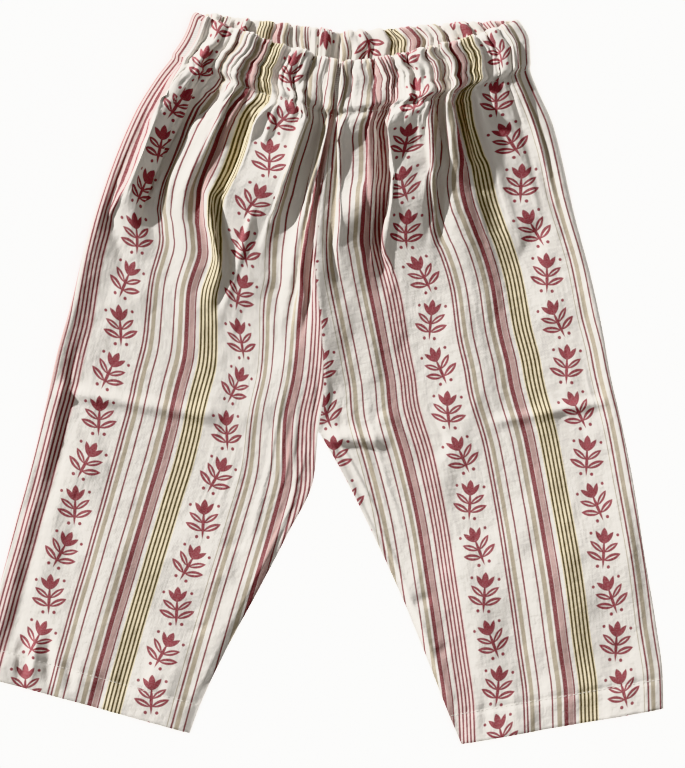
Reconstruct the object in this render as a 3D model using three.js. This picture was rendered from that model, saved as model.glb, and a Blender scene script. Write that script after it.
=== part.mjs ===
// A baby's elastic-waist trousers, laid flat on their back.
// Millimetres, +Z up. +Y points to the waist and +X to the wearer's left.
// Each leg is cut in one piece, front and back, and wraps round its side fold, so there is no
// side seam. The top is turned over into a casing round a loop of elastic, and each leg ends
// in a turned-up hem. "Down" is the distance below the waist edge, measured along the cloth.
import * as THREE from 'three';

// Driving dimensions.
const WALL = 1.0; // thickness of the cloth
const SEAM_GAP = 0.3; // clearance between two pieces at a seam
const CASING_DEPTH = 32; // waist edge to the casing's stitching
const HEM_DEPTH = 18.5; // stitching to the bottom edge
const LEG_LENGTH = 423; // waist edge to the bottom edge, at the side
const RISE = 222; // waist edge to the crotch, down the front
const BACK_EXTRA_RISE = 19.8; // how much higher the back's waist edge lies
const ELASTIC = { width: 25, thick: 1.2, fromTop: 3.5 };
const LAYER = WALL + SEAM_GAP; // from one layer's middle to the next one's, laid close

// The gathers of the casing: the height of the ripples in each of its layers.
const RIPPLE = { frontOuter: 3.0, backOuter: 1.8, inner: 1.8, side: 0.6, stitched: 1.0 };
const STITCHED_LIFT = LAYER / 2; // each layer's distance from the band's middle at the stitching
const CASING_EASE = 0.25; // room for the elastic on each side, beyond the seam's clearance
const BAND_LIFT = ELASTIC.thick / 2 + SEAM_GAP + CASING_EASE + WALL / 2; // and at the elastic
const BAND = {
  back: WALL / 2 + BAND_LIFT + RIPPLE.backOuter, // height of the elastic in the back
  turn: 4.2, // radius of the elastic's turn at the side
  front: 18, // height of the elastic at the centre of the front
  climb: 48, // distance over which the front climbs to that height
};
const LEG_CLIMB = 0.25; // the share of that distance over which a leg's front climbs at the hem
// The gathers are uneven in width and height: how far they stray, and how often in a half.
const UNEVEN = { place: [{ by: 0.018, times: 2 }, { by: 0.012, times: 5 }], height: 0.28, times: 3 };

// The centre seam of the front, from the waist edge to the crotch, shared by both legs.
const CENTRE_SEAM = [
  { down: 0, x: 12.0, y: 189.6 },
  { down: 15, x: 10.3, y: 174.7 },
  { down: 32, x: 8.5, y: 157.8 },
  { down: 70, x: 2.2, y: 120.3 },
  { down: 125, x: -2.5, y: 65.7 },
  { down: 160, x: 1.0, y: 30.9 },
  { down: 195, x: 2.2, y: -4.0 },
  { down: 222, x: -1.1, y: -30.8 },
];

// Each leg's outline. A section starts at the side fold and sags between there and the front's
// inner edge, which is the centre seam down to the crotch and the inseam below it.
const RIGHT_LEG = {
  name: 'right',
  gathers: 12,
  sections: [
    { down: 0, sideX: -77.4, sideY: 221.4, sag: 2.0 },
    { down: 15, sideX: -82.6, sideY: 207.6, sag: 2.0 },
    { down: 32, sideX: -91.4, sideY: 193.6, sag: 2.0 },
    { down: 70, sideX: -111.9, sideY: 161.8, sag: 1.0 },
    { down: 125, sideX: -132.8, sideY: 110.9, sag: 0 },
    { down: 160, sideX: -142.9, sideY: 77.4, sag: 0 },
    { down: 195, sideX: -151.3, sideY: 43.4, sag: 0 },
    { down: 222, sideX: -158.7, sideY: 17.5, sag: 0 },
    { down: 250, sideX: -164.7, sideY: -9.9, sag: 0 },
    { down: 290, sideX: -173.9, sideY: -48.9, sag: 0 },
    { down: 330, sideX: -184.4, sideY: -87.5, sag: 0 },
    { down: 370, sideX: -194.4, sideY: -126.3, sag: 0 },
    { down: 404, sideX: -203.1, sideY: -159.2, sag: 0 },
    { down: 423, sideX: -208.0, sideY: -177.6, sag: 0 },
  ],
  inseam: [
    { down: 222, x: -1.1, y: -30.8 },
    { down: 250, x: -3.7, y: -58.5 },
    { down: 290, x: -20.4, y: -94.5 },
    { down: 330, x: -38.8, y: -129.7 },
    { down: 370, x: -57.7, y: -164.7 },
    { down: 404, x: -72.0, y: -195.3 },
    { down: 423, x: -78.6, y: -213.0 },
  ],
};
const LEFT_LEG = {
  name: 'left',
  gathers: 14,
  sections: [
    { down: 0, sideX: 120.6, sideY: 216.9, sag: 5.0 },
    { down: 15, sideX: 127.1, sideY: 203.8, sag: 5.0 },
    { down: 32, sideX: 128.1, sideY: 187.1, sag: 5.0 },
    { down: 70, sideX: 141.5, sideY: 151.8, sag: 2.5 },
    { down: 125, sideX: 154.4, sideY: 97.7, sag: 0 },
    { down: 160, sideX: 163.6, sideY: 63.6, sag: 0 },
    { down: 195, sideX: 171.1, sideY: 29.1, sag: 0 },
    { down: 222, sideX: 175.9, sideY: 2.2, sag: 0 },
    { down: 250, sideX: 182.3, sideY: -25.4, sag: 0 },
    { down: 290, sideX: 190.1, sideY: -65.0, sag: 0 },
    { down: 330, sideX: 196.2, sideY: -105.0, sag: 0 },
    { down: 370, sideX: 202.9, sideY: -144.9, sag: 0 },
    { down: 404, sideX: 207.2, sideY: -179.0, sag: 0 },
    { down: 423, sideX: 207.6, sideY: -198.0, sag: 0 },
  ],
  inseam: [
    { down: 222, x: -1.1, y: -30.8 },
    { down: 250, x: 13.3, y: -55.8 },
    { down: 290, x: 31.8, y: -92.8 },
    { down: 330, x: 49.1, y: -130.4 },
    { down: 370, x: 64.8, y: -168.8 },
    { down: 404, x: 77.6, y: -201.6 },
    { down: 423, x: 85.2, y: -219.6 },
  ],
};

// How high each section lies: the back, the side fold's radius and its distance from the
// outline, the front between its edges, the front's inner edge, how far in from that edge the
// front starts to drop, and the height of the small gathers.
const HEIGHTS = [
  { down: 32, back: 3.05, fold: 4.85, inset: 1.85, front: 18.65, edge: 18.65, drop: 12, gather: 1.0 },
  { down: 46, back: 1.0, fold: 4.7, inset: 0.5, front: 17.6, edge: 16.8, drop: 12, gather: 1.7 },
  { down: 66, back: 0.5, fold: 4.3, inset: 0.5, front: 16.6, edge: 15.2, drop: 12, gather: 1.3 },
  { down: 100, back: 0.5, fold: 3.6, inset: 0.5, front: 14.6, edge: 12.4, drop: 14, gather: 0.7 },
  { down: 135, back: 0.5, fold: 2.9, inset: 0.5, front: 12.2, edge: 9.4, drop: 18, gather: 0.3 },
  { down: 165, back: 0.5, fold: 2.3, inset: 0.5, front: 9.8, edge: 6.6, drop: 24, gather: 0 },
  { down: 200, back: 0.5, fold: 1.8, inset: 0.5, front: 7.2, edge: 3.2, drop: 34, gather: 0 },
  { down: 222, back: 0.5, fold: 1.6, inset: 0.5, front: 6.0, edge: 1.8, drop: 34, gather: 0 },
  { down: 250, back: 0.5, fold: 1.4, inset: 0.5, front: 5.0, edge: 1.8, drop: 22, gather: 0 },
  { down: 300, back: 0.5, fold: 1.2, inset: 0.5, front: 4.0, edge: 1.8, drop: 12, gather: 0 },
  { down: 384, back: 0.5, fold: 1.3, inset: 0.5, front: 3.7, edge: 1.8, drop: 8, gather: 0 },
  { down: 403, back: 0.5, fold: 1.95, inset: 0.5, front: 4.4, edge: 4.4, drop: 8, gather: 0 },
  { down: 423, back: 0.5, fold: 1.95, inset: 0.5, front: 4.4, edge: 4.4, drop: 8, gather: 0 },
];

// The largest folds of the front, below the casing. A fold's crest runs from its top end
// through "midX", halfway down, to where it dies out; its flanks are "left" and "right" wide.
const FOLDS = [
  { topX: -94, topY: 168, midX: -117, endX: -134, endY: 74, height: 7, left: 12, right: 15 },
  { topX: -81, topY: 160, midX: -101, endX: -112, endY: 84, height: -4, left: 10, right: 10 },
  { topX: -60, topY: 172, midX: -85, endX: -93, endY: 92, height: 4, left: 10, right: 11 },
  { topX: -48, topY: 166, midX: -70, endX: -58, endY: 46, height: 4.5, left: 11, right: 10 },
  { topX: -32, topY: 158, midX: -45, endX: -50, endY: 70, height: -3, left: 12, right: 12 },
  { topX: -8, topY: 162, midX: -19, endX: -24, endY: 56, height: 4, left: 11, right: 10 },
  { topX: 21, topY: 160, midX: 17, endX: 11, endY: 66, height: 2.5, left: 7, right: 8 },
  { topX: 42, topY: 162, midX: 36, endX: 22, endY: 72, height: 4.5, left: 11, right: 11 },
  { topX: 70, topY: 168, midX: 69, endX: 60, endY: 78, height: 6.5, left: 12, right: 12 },
  { topX: 84, topY: 164, midX: 85, endX: 88, endY: 84, height: -3.5, left: 9, right: 9 },
  { topX: 101, topY: 168, midX: 98, endX: 104, endY: 92, height: 4, left: 11, right: 10 },
  { topX: 122, topY: 166, midX: 116, endX: 126, endY: 88, height: 3, left: 9, right: 9 },
  { topX: 58, topY: 56, midX: 84, endX: 106, endY: 12, height: -1.8, left: 18, right: 18 },
];
const FOLD_ONSET = 22; // distance below the stitching at which a fold has its full height
const FOLD_MARGIN = 9; // distance from either edge of the front at which it has
const FOLD_START = 12; // distance above its top end over which a fold rises

// The grid of the solids.
const LEG_ROWS = [32.3, 41, 52, 66, 84, 104, 128, 154, 180, 204, 222, 248, 285, 330, 384, 404, 423];
const COLUMNS_PER_GATHER = 3;
const TURN_COLUMNS = 5;
const BACK_COLUMNS = 14;
const HEM_ROWS = [LEG_LENGTH - HEM_DEPTH + 0.5, LEG_LENGTH - HEM_DEPTH / 2, LEG_LENGTH - 0.4];
const HEM_COLUMNS = 12;
const ELASTIC_COLUMNS = 24;
// The casing in section, from its stitching over the top edge to the stitching inside. "full"
// is how far the layer has left the band's middle towards its place beside the elastic.
const CASING_ROWS = [
  { down: CASING_DEPTH, side: 1, full: 0 },
  { down: 29, side: 1, full: 1 },
  { down: 6, side: 1, full: 1 },
  { down: 1.5, side: 1, full: 0.7 },
  { down: 0.1, side: 0, full: 0 },
  { down: 1.5, side: -1, full: 0.7 },
  { down: 6, side: -1, full: 1 },
  { down: 29, side: -1, full: 1 },
  { down: CASING_DEPTH, side: -1, full: 0 },
];

const clamp = (value, low, high) => Math.min(Math.max(value, low), high);

function smooth(value) {
  const t = clamp(value, 0, 1);
  return t * t * (3 - 2 * t);
}

// A curve through one column of a table, with no overshoot between its rows.
function curve(rows, name) {
  const at = rows.map((row) => row.down);
  const value = rows.map((row) => row[name]);
  const secant = value.slice(1).map((v, i) => (v - value[i]) / (at[i + 1] - at[i]));
  const slope = value.map((_, i) => {
    const before = secant[Math.max(i - 1, 0)];
    const after = secant[Math.min(i, secant.length - 1)];
    return before * after <= 0 ? 0 : (2 * before * after) / (before + after);
  });
  return (down) => {
    let i = 0;
    while (i < at.length - 2 && down > at[i + 1]) i += 1;
    const step = at[i + 1] - at[i];
    const t = clamp((down - at[i]) / step, 0, 1);
    const ease = t * t * (3 - 2 * t);
    const rise = t * (1 - t) * ((1 - t) * slope[i] - t * slope[i + 1]) * step;
    return value[i] + (value[i + 1] - value[i]) * ease + rise;
  };
}

const height = {};
for (const name of ['back', 'fold', 'inset', 'front', 'edge', 'drop', 'gather']) {
  height[name] = curve(HEIGHTS, name);
}
const seam = { x: curve(CENTRE_SEAM, 'x'), y: curve(CENTRE_SEAM, 'y') };
for (const leg of [RIGHT_LEG, LEFT_LEG]) {
  leg.side = { x: curve(leg.sections, 'sideX'), y: curve(leg.sections, 'sideY') };
  leg.sag = curve(leg.sections, 'sag');
  leg.inner = { x: curve(leg.inseam, 'x'), y: curve(leg.inseam, 'y') };
}

// The inner edge of a leg's front or back: the centre seam down to the crotch, then the inseam.
function innerEdge(leg, down, isBack) {
  const line = down > RISE ? leg.inner : seam;
  const edge = new THREE.Vector2(line.x(down), line.y(down));
  if (isBack) edge.y += BACK_EXTRA_RISE * clamp(1 - down / RISE, 0, 1);
  return edge;
}

// The direction square to that edge, in plan.
function squareToEdge(leg, down, isBack) {
  const STEP = 1;
  const way = innerEdge(leg, down + STEP, isBack).sub(innerEdge(leg, down - STEP, isBack)).normalize();
  return new THREE.Vector2(-way.y, way.x);
}

// One section across a leg: where it starts at the side, the directions in which its front and
// back run to their inner edges, and how far that is, less half of the seam's clearance.
function section(leg, down) {
  const side = new THREE.Vector2(leg.side.x(down), leg.side.y(down));
  const front = innerEdge(leg, down, false).sub(side);
  const back = innerEdge(leg, down, true).sub(side);
  const frontLength = front.length();
  const backLength = back.length();
  front.normalize();
  back.normalize();
  const frontSquare = squareToEdge(leg, down, false);
  const backSquare = squareToEdge(leg, down, true);
  return {
    side,
    front,
    back,
    frontSquare,
    backSquare,
    frontWidth: frontLength - SEAM_GAP / 2 / Math.abs(front.dot(frontSquare)),
    backWidth: backLength - SEAM_GAP / 2 / Math.abs(back.dot(backSquare)),
    sag: leg.sag(down),
  };
}

// Gathers: "turn" counts them from the side fold (0) to the inner edge (1). They are uneven in
// width, so their place across the front isn't in step with that count.
function gatherPlace(turn) {
  return UNEVEN.place.reduce(
    (place, { by, times }) => place + by * Math.sin(2 * Math.PI * times * turn),
    turn,
  );
}

function gatherWave(leg, turn) {
  const uneven = 1 + UNEVEN.height * Math.sin(2 * Math.PI * UNEVEN.times * turn);
  return -Math.cos(2 * Math.PI * leg.gathers * turn) * uneven;
}

function foldHeight(x, y) {
  let total = 0;
  for (const fold of FOLDS) {
    const way = clamp((fold.topY - y) / (fold.topY - fold.endY), 0, 1);
    const bend = fold.midX - (fold.topX + fold.endX) / 2;
    const crest = fold.topX + (fold.endX - fold.topX) * way + bend * 4 * way * (1 - way);
    const off = x - crest;
    const flank = clamp(Math.abs(off) / (off < 0 ? fold.left : fold.right), 0, 1);
    const above = 1 - smooth((y - fold.topY) / FOLD_START);
    const fading = 1 - smooth(2 * way - 1);
    total += fold.height * Math.cos((flank * Math.PI) / 2) ** 2 * fading * above;
  }
  return total;
}

// The middle of the front's cloth, "turn" of the way from the side fold to the inner edge.
function frontPoint(leg, down, turn, inset = 0) {
  const cut = section(leg, down);
  const radius = height.fold(down);
  const start = height.inset(down) + radius;
  const reach = cut.frontWidth - start;
  const along = gatherPlace(turn) * reach;
  const share = (start + along) / cut.frontWidth;
  const x = cut.side.x + cut.front.x * (start + along);
  const y = cut.side.y + cut.front.y * (start + along) - 4 * cut.sag * share * (1 - share);
  const back = height.back(down);
  const foldTop = back + 2 * radius;
  const climb = clamp(1 + LEG_CLIMB - down / RISE, LEG_CLIMB, 1) * BAND.climb;
  const open = foldTop + (height.front(down) - foldTop) * smooth(along / climb);
  const near = 1 - smooth((reach - along) / height.drop(down));
  const base = open + (height.edge(down) - height.front(down)) * near;
  const margin = smooth(along / FOLD_MARGIN) * smooth((reach - along) / FOLD_MARGIN);
  const folds = foldHeight(x, y) * margin * smooth((down - CASING_DEPTH) / FOLD_ONSET);
  const gathers = height.gather(down) * gatherWave(leg, turn);
  const lowest = back + LAYER;
  return new THREE.Vector3(x, y, Math.max(base + folds + gathers, lowest) - inset);
}

function backPoint(leg, down, share, inset = 0) {
  const cut = section(leg, down);
  const start = height.inset(down) + height.fold(down);
  const along = start + (cut.backWidth - start) * share;
  const place = cut.side.clone().addScaledVector(cut.back, along);
  return new THREE.Vector3(place.x, place.y, height.back(down) + inset);
}

// The turn round the side fold, from the front (0) to the back (1).
function sidePoint(leg, down, share, inset = 0) {
  const cut = section(leg, down);
  const radius = height.fold(down);
  const angle = Math.PI * share;
  const way = cut.front.clone().lerp(cut.back, share).normalize();
  const along = height.inset(down) + radius - (radius - inset) * Math.sin(angle);
  const place = cut.side.clone().addScaledVector(way, along);
  const z = height.back(down) + radius + (radius - inset) * Math.cos(angle);
  return new THREE.Vector3(place.x, place.y, z);
}

// The elastic's line, and the way out of the band from it. Its front runs at "turn" of the way
// across as frontPoint does, then round the side, then along the back.
function bandPlaces(leg, columns) {
  const places = [];
  for (let i = 0; i <= columns; i += 1) places.push({ part: 'front', turn: 1 - i / columns });
  for (let i = 1; i < TURN_COLUMNS; i += 1) places.push({ part: 'side', turn: i / TURN_COLUMNS });
  for (let i = 0; i <= columns; i += 1) places.push({ part: 'back', turn: i / columns });
  return places;
}

function bandPoint(leg, down, place) {
  const cut = section(leg, down);
  const start = BAND.turn + BAND_LIFT + RIPPLE.side + WALL / 2;
  const low = BAND.back;
  const high = BAND.back + 2 * BAND.turn;
  if (place.part === 'side') {
    const angle = Math.PI * place.turn;
    const way = cut.front.clone().lerp(cut.back, place.turn).normalize();
    const spot = cut.side.clone().addScaledVector(way, start - BAND.turn * Math.sin(angle));
    const out = new THREE.Vector3(-way.x * Math.sin(angle), -way.y * Math.sin(angle), Math.cos(angle));
    const z = low + BAND.turn * (1 + Math.cos(angle));
    return { spot: new THREE.Vector3(spot.x, spot.y, z), out };
  }
  const front = place.part === 'front';
  const width = front ? cut.frontWidth : cut.backWidth;
  const along = start + gatherPlace(place.turn) * (width - start);
  const spot = cut.side.clone().addScaledVector(front ? cut.front : cut.back, along);
  const share = along / width;
  if (front) spot.y -= 4 * cut.sag * share * (1 - share);
  const z = front ? high + (BAND.front - high) * smooth((along - start) / BAND.climb) : low;
  return { spot: new THREE.Vector3(spot.x, spot.y, z), out: new THREE.Vector3(0, 0, front ? 1 : -1) };
}

function casingPoint(leg, row, place) {
  const { spot, out } = bandPoint(leg, row.down, place);
  const wave = place.part === 'side' ? -1 : gatherWave(leg, place.turn);
  const outer = { front: RIPPLE.frontOuter, side: RIPPLE.side, back: RIPPLE.backOuter }[place.part];
  const ripple = row.side > 0 ? outer : place.part === 'side' ? RIPPLE.side : RIPPLE.inner;
  const lift = BAND_LIFT + ripple * clamp(0.5 + 0.5 * wave * row.side, 0, 1);
  const stitched = row.down === CASING_DEPTH ? RIPPLE.stitched * wave : 0;
  const offset = row.side * (STITCHED_LIFT + (lift - STITCHED_LIFT) * row.full);
  return spot.addScaledVector(out, offset + (place.part === 'side' ? 0 : stitched));
}

// Closes a grid of mid-surface points into a wall. "Across" runs over the columns and "along"
// over the rows. A seam's edge is cut square: its thickness has no part in the direction of the
// neighbouring piece.
function wall(grid, edges) {
  const rows = grid.length;
  const columns = grid[0].length;
  const normals = grid.map((line, i) => line.map((_, j) => {
    const above = grid[Math.max(i - 1, 0)][j];
    const below = grid[Math.min(i + 1, rows - 1)][j];
    const before = grid[i][Math.max(j - 1, 0)];
    const after = grid[i][Math.min(j + 1, columns - 1)];
    const normal = below.clone().sub(above).cross(after.clone().sub(before)).normalize();
    const square = (way) => normal.addScaledVector(way, -normal.dot(way)).normalize();
    if (i === 0 || i === rows - 1) square(edges.along(i, j));
    if (j === 0 || j === columns - 1) square(edges.across(i, j));
    return normal;
  }));
  const position = [];
  for (const side of [0.5, -0.5]) {
    grid.forEach((line, i) => line.forEach((point, j) => {
      position.push(...point.clone().addScaledVector(normals[i][j], side * WALL).toArray());
    }));
  }
  const top = (i, j) => i * columns + j;
  const under = (i, j) => rows * columns + i * columns + j;
  const index = [];
  const quad = (a, b, c, d) => index.push(a, b, c, a, c, d);
  for (let i = 0; i < rows - 1; i += 1) {
    for (let j = 0; j < columns - 1; j += 1) {
      quad(top(i, j), top(i + 1, j), top(i + 1, j + 1), top(i, j + 1));
      quad(under(i, j), under(i, j + 1), under(i + 1, j + 1), under(i + 1, j));
    }
  }
  for (let j = 0; j < columns - 1; j += 1) {
    quad(top(0, j), top(0, j + 1), under(0, j + 1), under(0, j));
    quad(top(rows - 1, j + 1), top(rows - 1, j), under(rows - 1, j), under(rows - 1, j + 1));
  }
  for (let i = 0; i < rows - 1; i += 1) {
    quad(top(i + 1, 0), top(i, 0), under(i, 0), under(i + 1, 0));
    quad(top(i, columns - 1), top(i + 1, columns - 1), under(i + 1, columns - 1), under(i, columns - 1));
  }
  return closedGeometry(position, index);
}

function closedGeometry(position, index) {
  const at = (k) => new THREE.Vector3().fromArray(position, 3 * k);
  let volume = 0;
  for (let k = 0; k < index.length; k += 3) {
    volume += at(index[k]).dot(at(index[k + 1]).cross(at(index[k + 2])));
  }
  if (volume < 0) {
    index.reverse();
  }
  const geometry = new THREE.BufferGeometry();
  geometry.setAttribute('position', new THREE.Float32BufferAttribute(position, 3));
  geometry.setIndex(index);
  geometry.computeVertexNormals();
  return geometry;
}

// The directions, in plan, that are square to a wall's edges: those along a section, and those
// at a seam.
function seamEdges(leg, downs) {
  return {
    along: (i) => {
      const { front } = section(leg, downs[i]);
      return new THREE.Vector3(-front.y, front.x, 0);
    },
    across: (i, j) => {
      const cut = section(leg, downs[i]);
      const way = j === 0 ? cut.frontSquare : cut.backSquare;
      return new THREE.Vector3(way.x, way.y, 0);
    },
  };
}

function legGrid(leg, downs, frontColumns, backColumns, inset) {
  return downs.map((down) => {
    const line = [];
    for (let j = frontColumns; j >= 0; j -= 1) line.push(frontPoint(leg, down, j / frontColumns, inset));
    for (let j = 1; j < TURN_COLUMNS; j += 1) line.push(sidePoint(leg, down, j / TURN_COLUMNS, inset));
    for (let j = 0; j <= backColumns; j += 1) line.push(backPoint(leg, down, j / backColumns, inset));
    return line;
  });
}

const COTTON = { color: 0xe9e4da, roughness: 0.9, metalness: 0 };
const WEBBING = { color: 0xf4f3ef, roughness: 0.8, metalness: 0 };

function piece(name, geometry, look) {
  const mesh = new THREE.Mesh(geometry, new THREE.MeshStandardMaterial(look));
  mesh.name = name;
  return mesh;
}

function makeLeg(leg) {
  const grid = legGrid(leg, LEG_ROWS, leg.gathers * COLUMNS_PER_GATHER, BACK_COLUMNS, 0);
  return piece(`leg_${leg.name}`, wall(grid, seamEdges(leg, LEG_ROWS)), COTTON);
}

function makeHem(leg) {
  const grid = legGrid(leg, HEM_ROWS, HEM_COLUMNS, HEM_COLUMNS, LAYER);
  return piece(`hem_${leg.name}`, wall(grid, seamEdges(leg, HEM_ROWS)), COTTON);
}

function makeCasing(leg) {
  const places = bandPlaces(leg, leg.gathers * COLUMNS_PER_GATHER);
  const grid = CASING_ROWS.map((row) => places.map((place) => casingPoint(leg, row, place)));
  const downs = CASING_ROWS.map((row) => row.down);
  return piece(`casing_${leg.name}`, wall(grid, seamEdges(leg, downs)), COTTON);
}

// The elastic is one loop: across the right half's front, round both sides and back.
function makeElastic() {
  const loop = [
    ...bandPlaces(RIGHT_LEG, ELASTIC_COLUMNS).map((place) => ({ leg: RIGHT_LEG, place })),
    ...bandPlaces(LEFT_LEG, ELASTIC_COLUMNS).reverse().map((place) => ({ leg: LEFT_LEG, place })),
  ];
  const top = ELASTIC.fromTop;
  const bottom = top + ELASTIC.width;
  const corners = [[top, 1], [bottom, 1], [bottom, -1], [top, -1]];
  const position = [];
  for (const { leg, place } of loop) {
    for (const [down, side] of corners) {
      const { spot, out } = bandPoint(leg, down, place);
      position.push(...spot.addScaledVector(out, (side * ELASTIC.thick) / 2).toArray());
    }
  }
  const count = loop.length;
  const sides = corners.length;
  const index = [];
  for (let i = 0; i < count; i += 1) {
    const next = (i + 1) % count;
    for (let k = 0; k < sides; k += 1) {
      const turn = (k + 1) % sides;
      const [a, b] = [i * sides + k, i * sides + turn];
      const [c, d] = [next * sides + turn, next * sides + k];
      index.push(a, b, c, a, c, d);
    }
  }
  return piece('elastic', closedGeometry(position, index), WEBBING);
}

const trousers = new THREE.Group();
for (const leg of [RIGHT_LEG, LEFT_LEG]) {
  trousers.add(makeLeg(leg), makeCasing(leg), makeHem(leg));
}
trousers.add(makeElastic());

// The origin is the centre of the underside.
const box = new THREE.Box3().setFromObject(trousers);
trousers.position.set(-(box.min.x + box.max.x) / 2, -(box.min.y + box.max.y) / 2, -box.min.z);
const group = new THREE.Group();
group.add(trousers);

export default group;
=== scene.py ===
"""Elastic-waist trousers in striped cotton, laid flat on their back, front up.

Each leg is one sheet of cloth: the hem's turn-up, the panel that wraps round the side fold, and
the casing, turned over the waist edge to the inside. Tables and sizes are in millimetres, in the
plan of the laid garment: +Y points to the waist and +X to the wearer's left. "Down" is the
distance below the waist edge along the cloth, and "across" the distance from the side fold.
"""
import math

import bpy
import numpy as np
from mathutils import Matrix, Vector


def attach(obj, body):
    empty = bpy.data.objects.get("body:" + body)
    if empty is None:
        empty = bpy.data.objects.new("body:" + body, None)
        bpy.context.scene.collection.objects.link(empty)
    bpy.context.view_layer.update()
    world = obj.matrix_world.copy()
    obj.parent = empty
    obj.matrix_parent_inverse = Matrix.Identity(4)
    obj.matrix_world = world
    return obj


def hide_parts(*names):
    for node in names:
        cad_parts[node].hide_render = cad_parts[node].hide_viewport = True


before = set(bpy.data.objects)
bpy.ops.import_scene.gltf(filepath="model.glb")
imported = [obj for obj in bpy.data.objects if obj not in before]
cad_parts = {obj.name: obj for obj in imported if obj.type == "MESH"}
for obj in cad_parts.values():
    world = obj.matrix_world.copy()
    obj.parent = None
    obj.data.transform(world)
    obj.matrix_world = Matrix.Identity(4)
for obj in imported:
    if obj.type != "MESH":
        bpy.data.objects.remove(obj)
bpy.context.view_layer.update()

bl_info = {
    "name": "Elastic-Waist Trousers",
    "version": (1, 0, 0),
    "blender": (4, 5, 0),
    "location": "3D View > Sidebar > Trousers",
    "description": "Builds small elastic-waist trousers in striped cotton, laid flat",
    "category": "Object",
}

MM = 0.001
FRAME_SHIFT = (0.20, -0.79)  # from the tables' origin to the frame's, the centre of the solids


def table(columns, *rows):
    """A short table, as one array for each named column."""
    return dict(zip(columns.split(), np.array(rows, float).T))


def rows_of(columns):
    """The rows of a table, each with its columns' names."""
    return [dict(zip(columns, row)) for row in zip(*columns.values())]


# ---- The cut and the lie of the garment ----------------------------------------------------

CASING_DEPTH = 32.0
HEM_DEPTH = 18.5
LEG_LENGTH = 423.0
RISE = 222.0
BACK_EXTRA_RISE = 19.8

CENTRE_SEAM = table(
    "down x y",
    (0, 12.0, 189.6),
    (15, 10.3, 174.7),
    (32, 8.5, 157.8),
    (70, 2.2, 120.3),
    (125, -2.5, 65.7),
    (160, 1.0, 30.9),
    (195, 2.2, -4.0),
    (222, -1.1, -30.8),
)

RIGHT_SIDE = table(
    "down x y sag",
    (0, -77.4, 221.4, 2.0),
    (15, -82.6, 207.6, 2.0),
    (32, -91.4, 193.6, 2.0),
    (70, -111.9, 161.8, 1.0),
    (125, -132.8, 110.9, 0.0),
    (160, -142.9, 77.4, 0.0),
    (195, -151.3, 43.4, 0.0),
    (222, -158.7, 17.5, 0.0),
    (250, -164.7, -9.9, 0.0),
    (290, -173.9, -48.9, 0.0),
    (330, -184.4, -87.5, 0.0),
    (370, -194.4, -126.3, 0.0),
    (404, -203.1, -159.2, 0.0),
    (423, -208.0, -177.6, 0.0),
)
LEFT_SIDE = table(
    "down x y sag",
    (0, 120.6, 216.9, 5.0),
    (15, 127.1, 203.8, 5.0),
    (32, 128.1, 187.1, 5.0),
    (70, 141.5, 151.8, 2.5),
    (125, 154.4, 97.7, 0.0),
    (160, 163.6, 63.6, 0.0),
    (195, 171.1, 29.1, 0.0),
    (222, 175.9, 2.2, 0.0),
    (250, 182.3, -25.4, 0.0),
    (290, 190.1, -65.0, 0.0),
    (330, 196.2, -105.0, 0.0),
    (370, 202.9, -144.9, 0.0),
    (404, 207.2, -179.0, 0.0),
    (423, 207.6, -198.0, 0.0),
)
RIGHT_INSEAM = table(
    "down x y",
    (222, -1.1, -30.8),
    (250, -3.7, -58.5),
    (290, -20.4, -94.5),
    (330, -38.8, -129.7),
    (370, -57.7, -164.7),
    (404, -72.0, -195.3),
    (423, -78.6, -213.0),
)
LEFT_INSEAM = table(
    "down x y",
    (222, -1.1, -30.8),
    (250, 13.3, -55.8),
    (290, 31.8, -92.8),
    (330, 49.1, -130.4),
    (370, 64.8, -168.8),
    (404, 77.6, -201.6),
    (423, 85.2, -219.6),
)

# How much cloth lies in each half of a leg, for each millimetre of its width in plan. The
# gathers and folds take up what is more than 1.
RIGHT_FULLNESS = table(
    "down front back",
    (0, 1.581, 1.530),
    (32, 1.413, 1.377),
    (70, 1.252, 1.260),
    (125, 1.138, 1.138),
    (160, 1.065, 1.069),
    (195, 1.030, 1.032),
    (222, 1.019, 1.019),
    (250, 1.008, 1.005),
    (290, 1.009, 1.005),
    (330, 1.009, 1.006),
    (370, 1.009, 1.007),
    (404, 1.008, 1.008),
    (423, 1.006, 1.006),
)
LEFT_FULLNESS = table(
    "down front back",
    (0, 1.518, 1.314),
    (32, 1.381, 1.214),
    (70, 1.197, 1.139),
    (125, 1.087, 1.072),
    (160, 1.067, 1.062),
    (195, 1.046, 1.043),
    (222, 1.016, 1.016),
    (250, 1.010, 1.008),
    (290, 1.008, 1.005),
    (330, 1.008, 1.005),
    (370, 1.006, 1.006),
    (404, 1.007, 1.003),
    (423, 1.010, 1.006),
)

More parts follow.
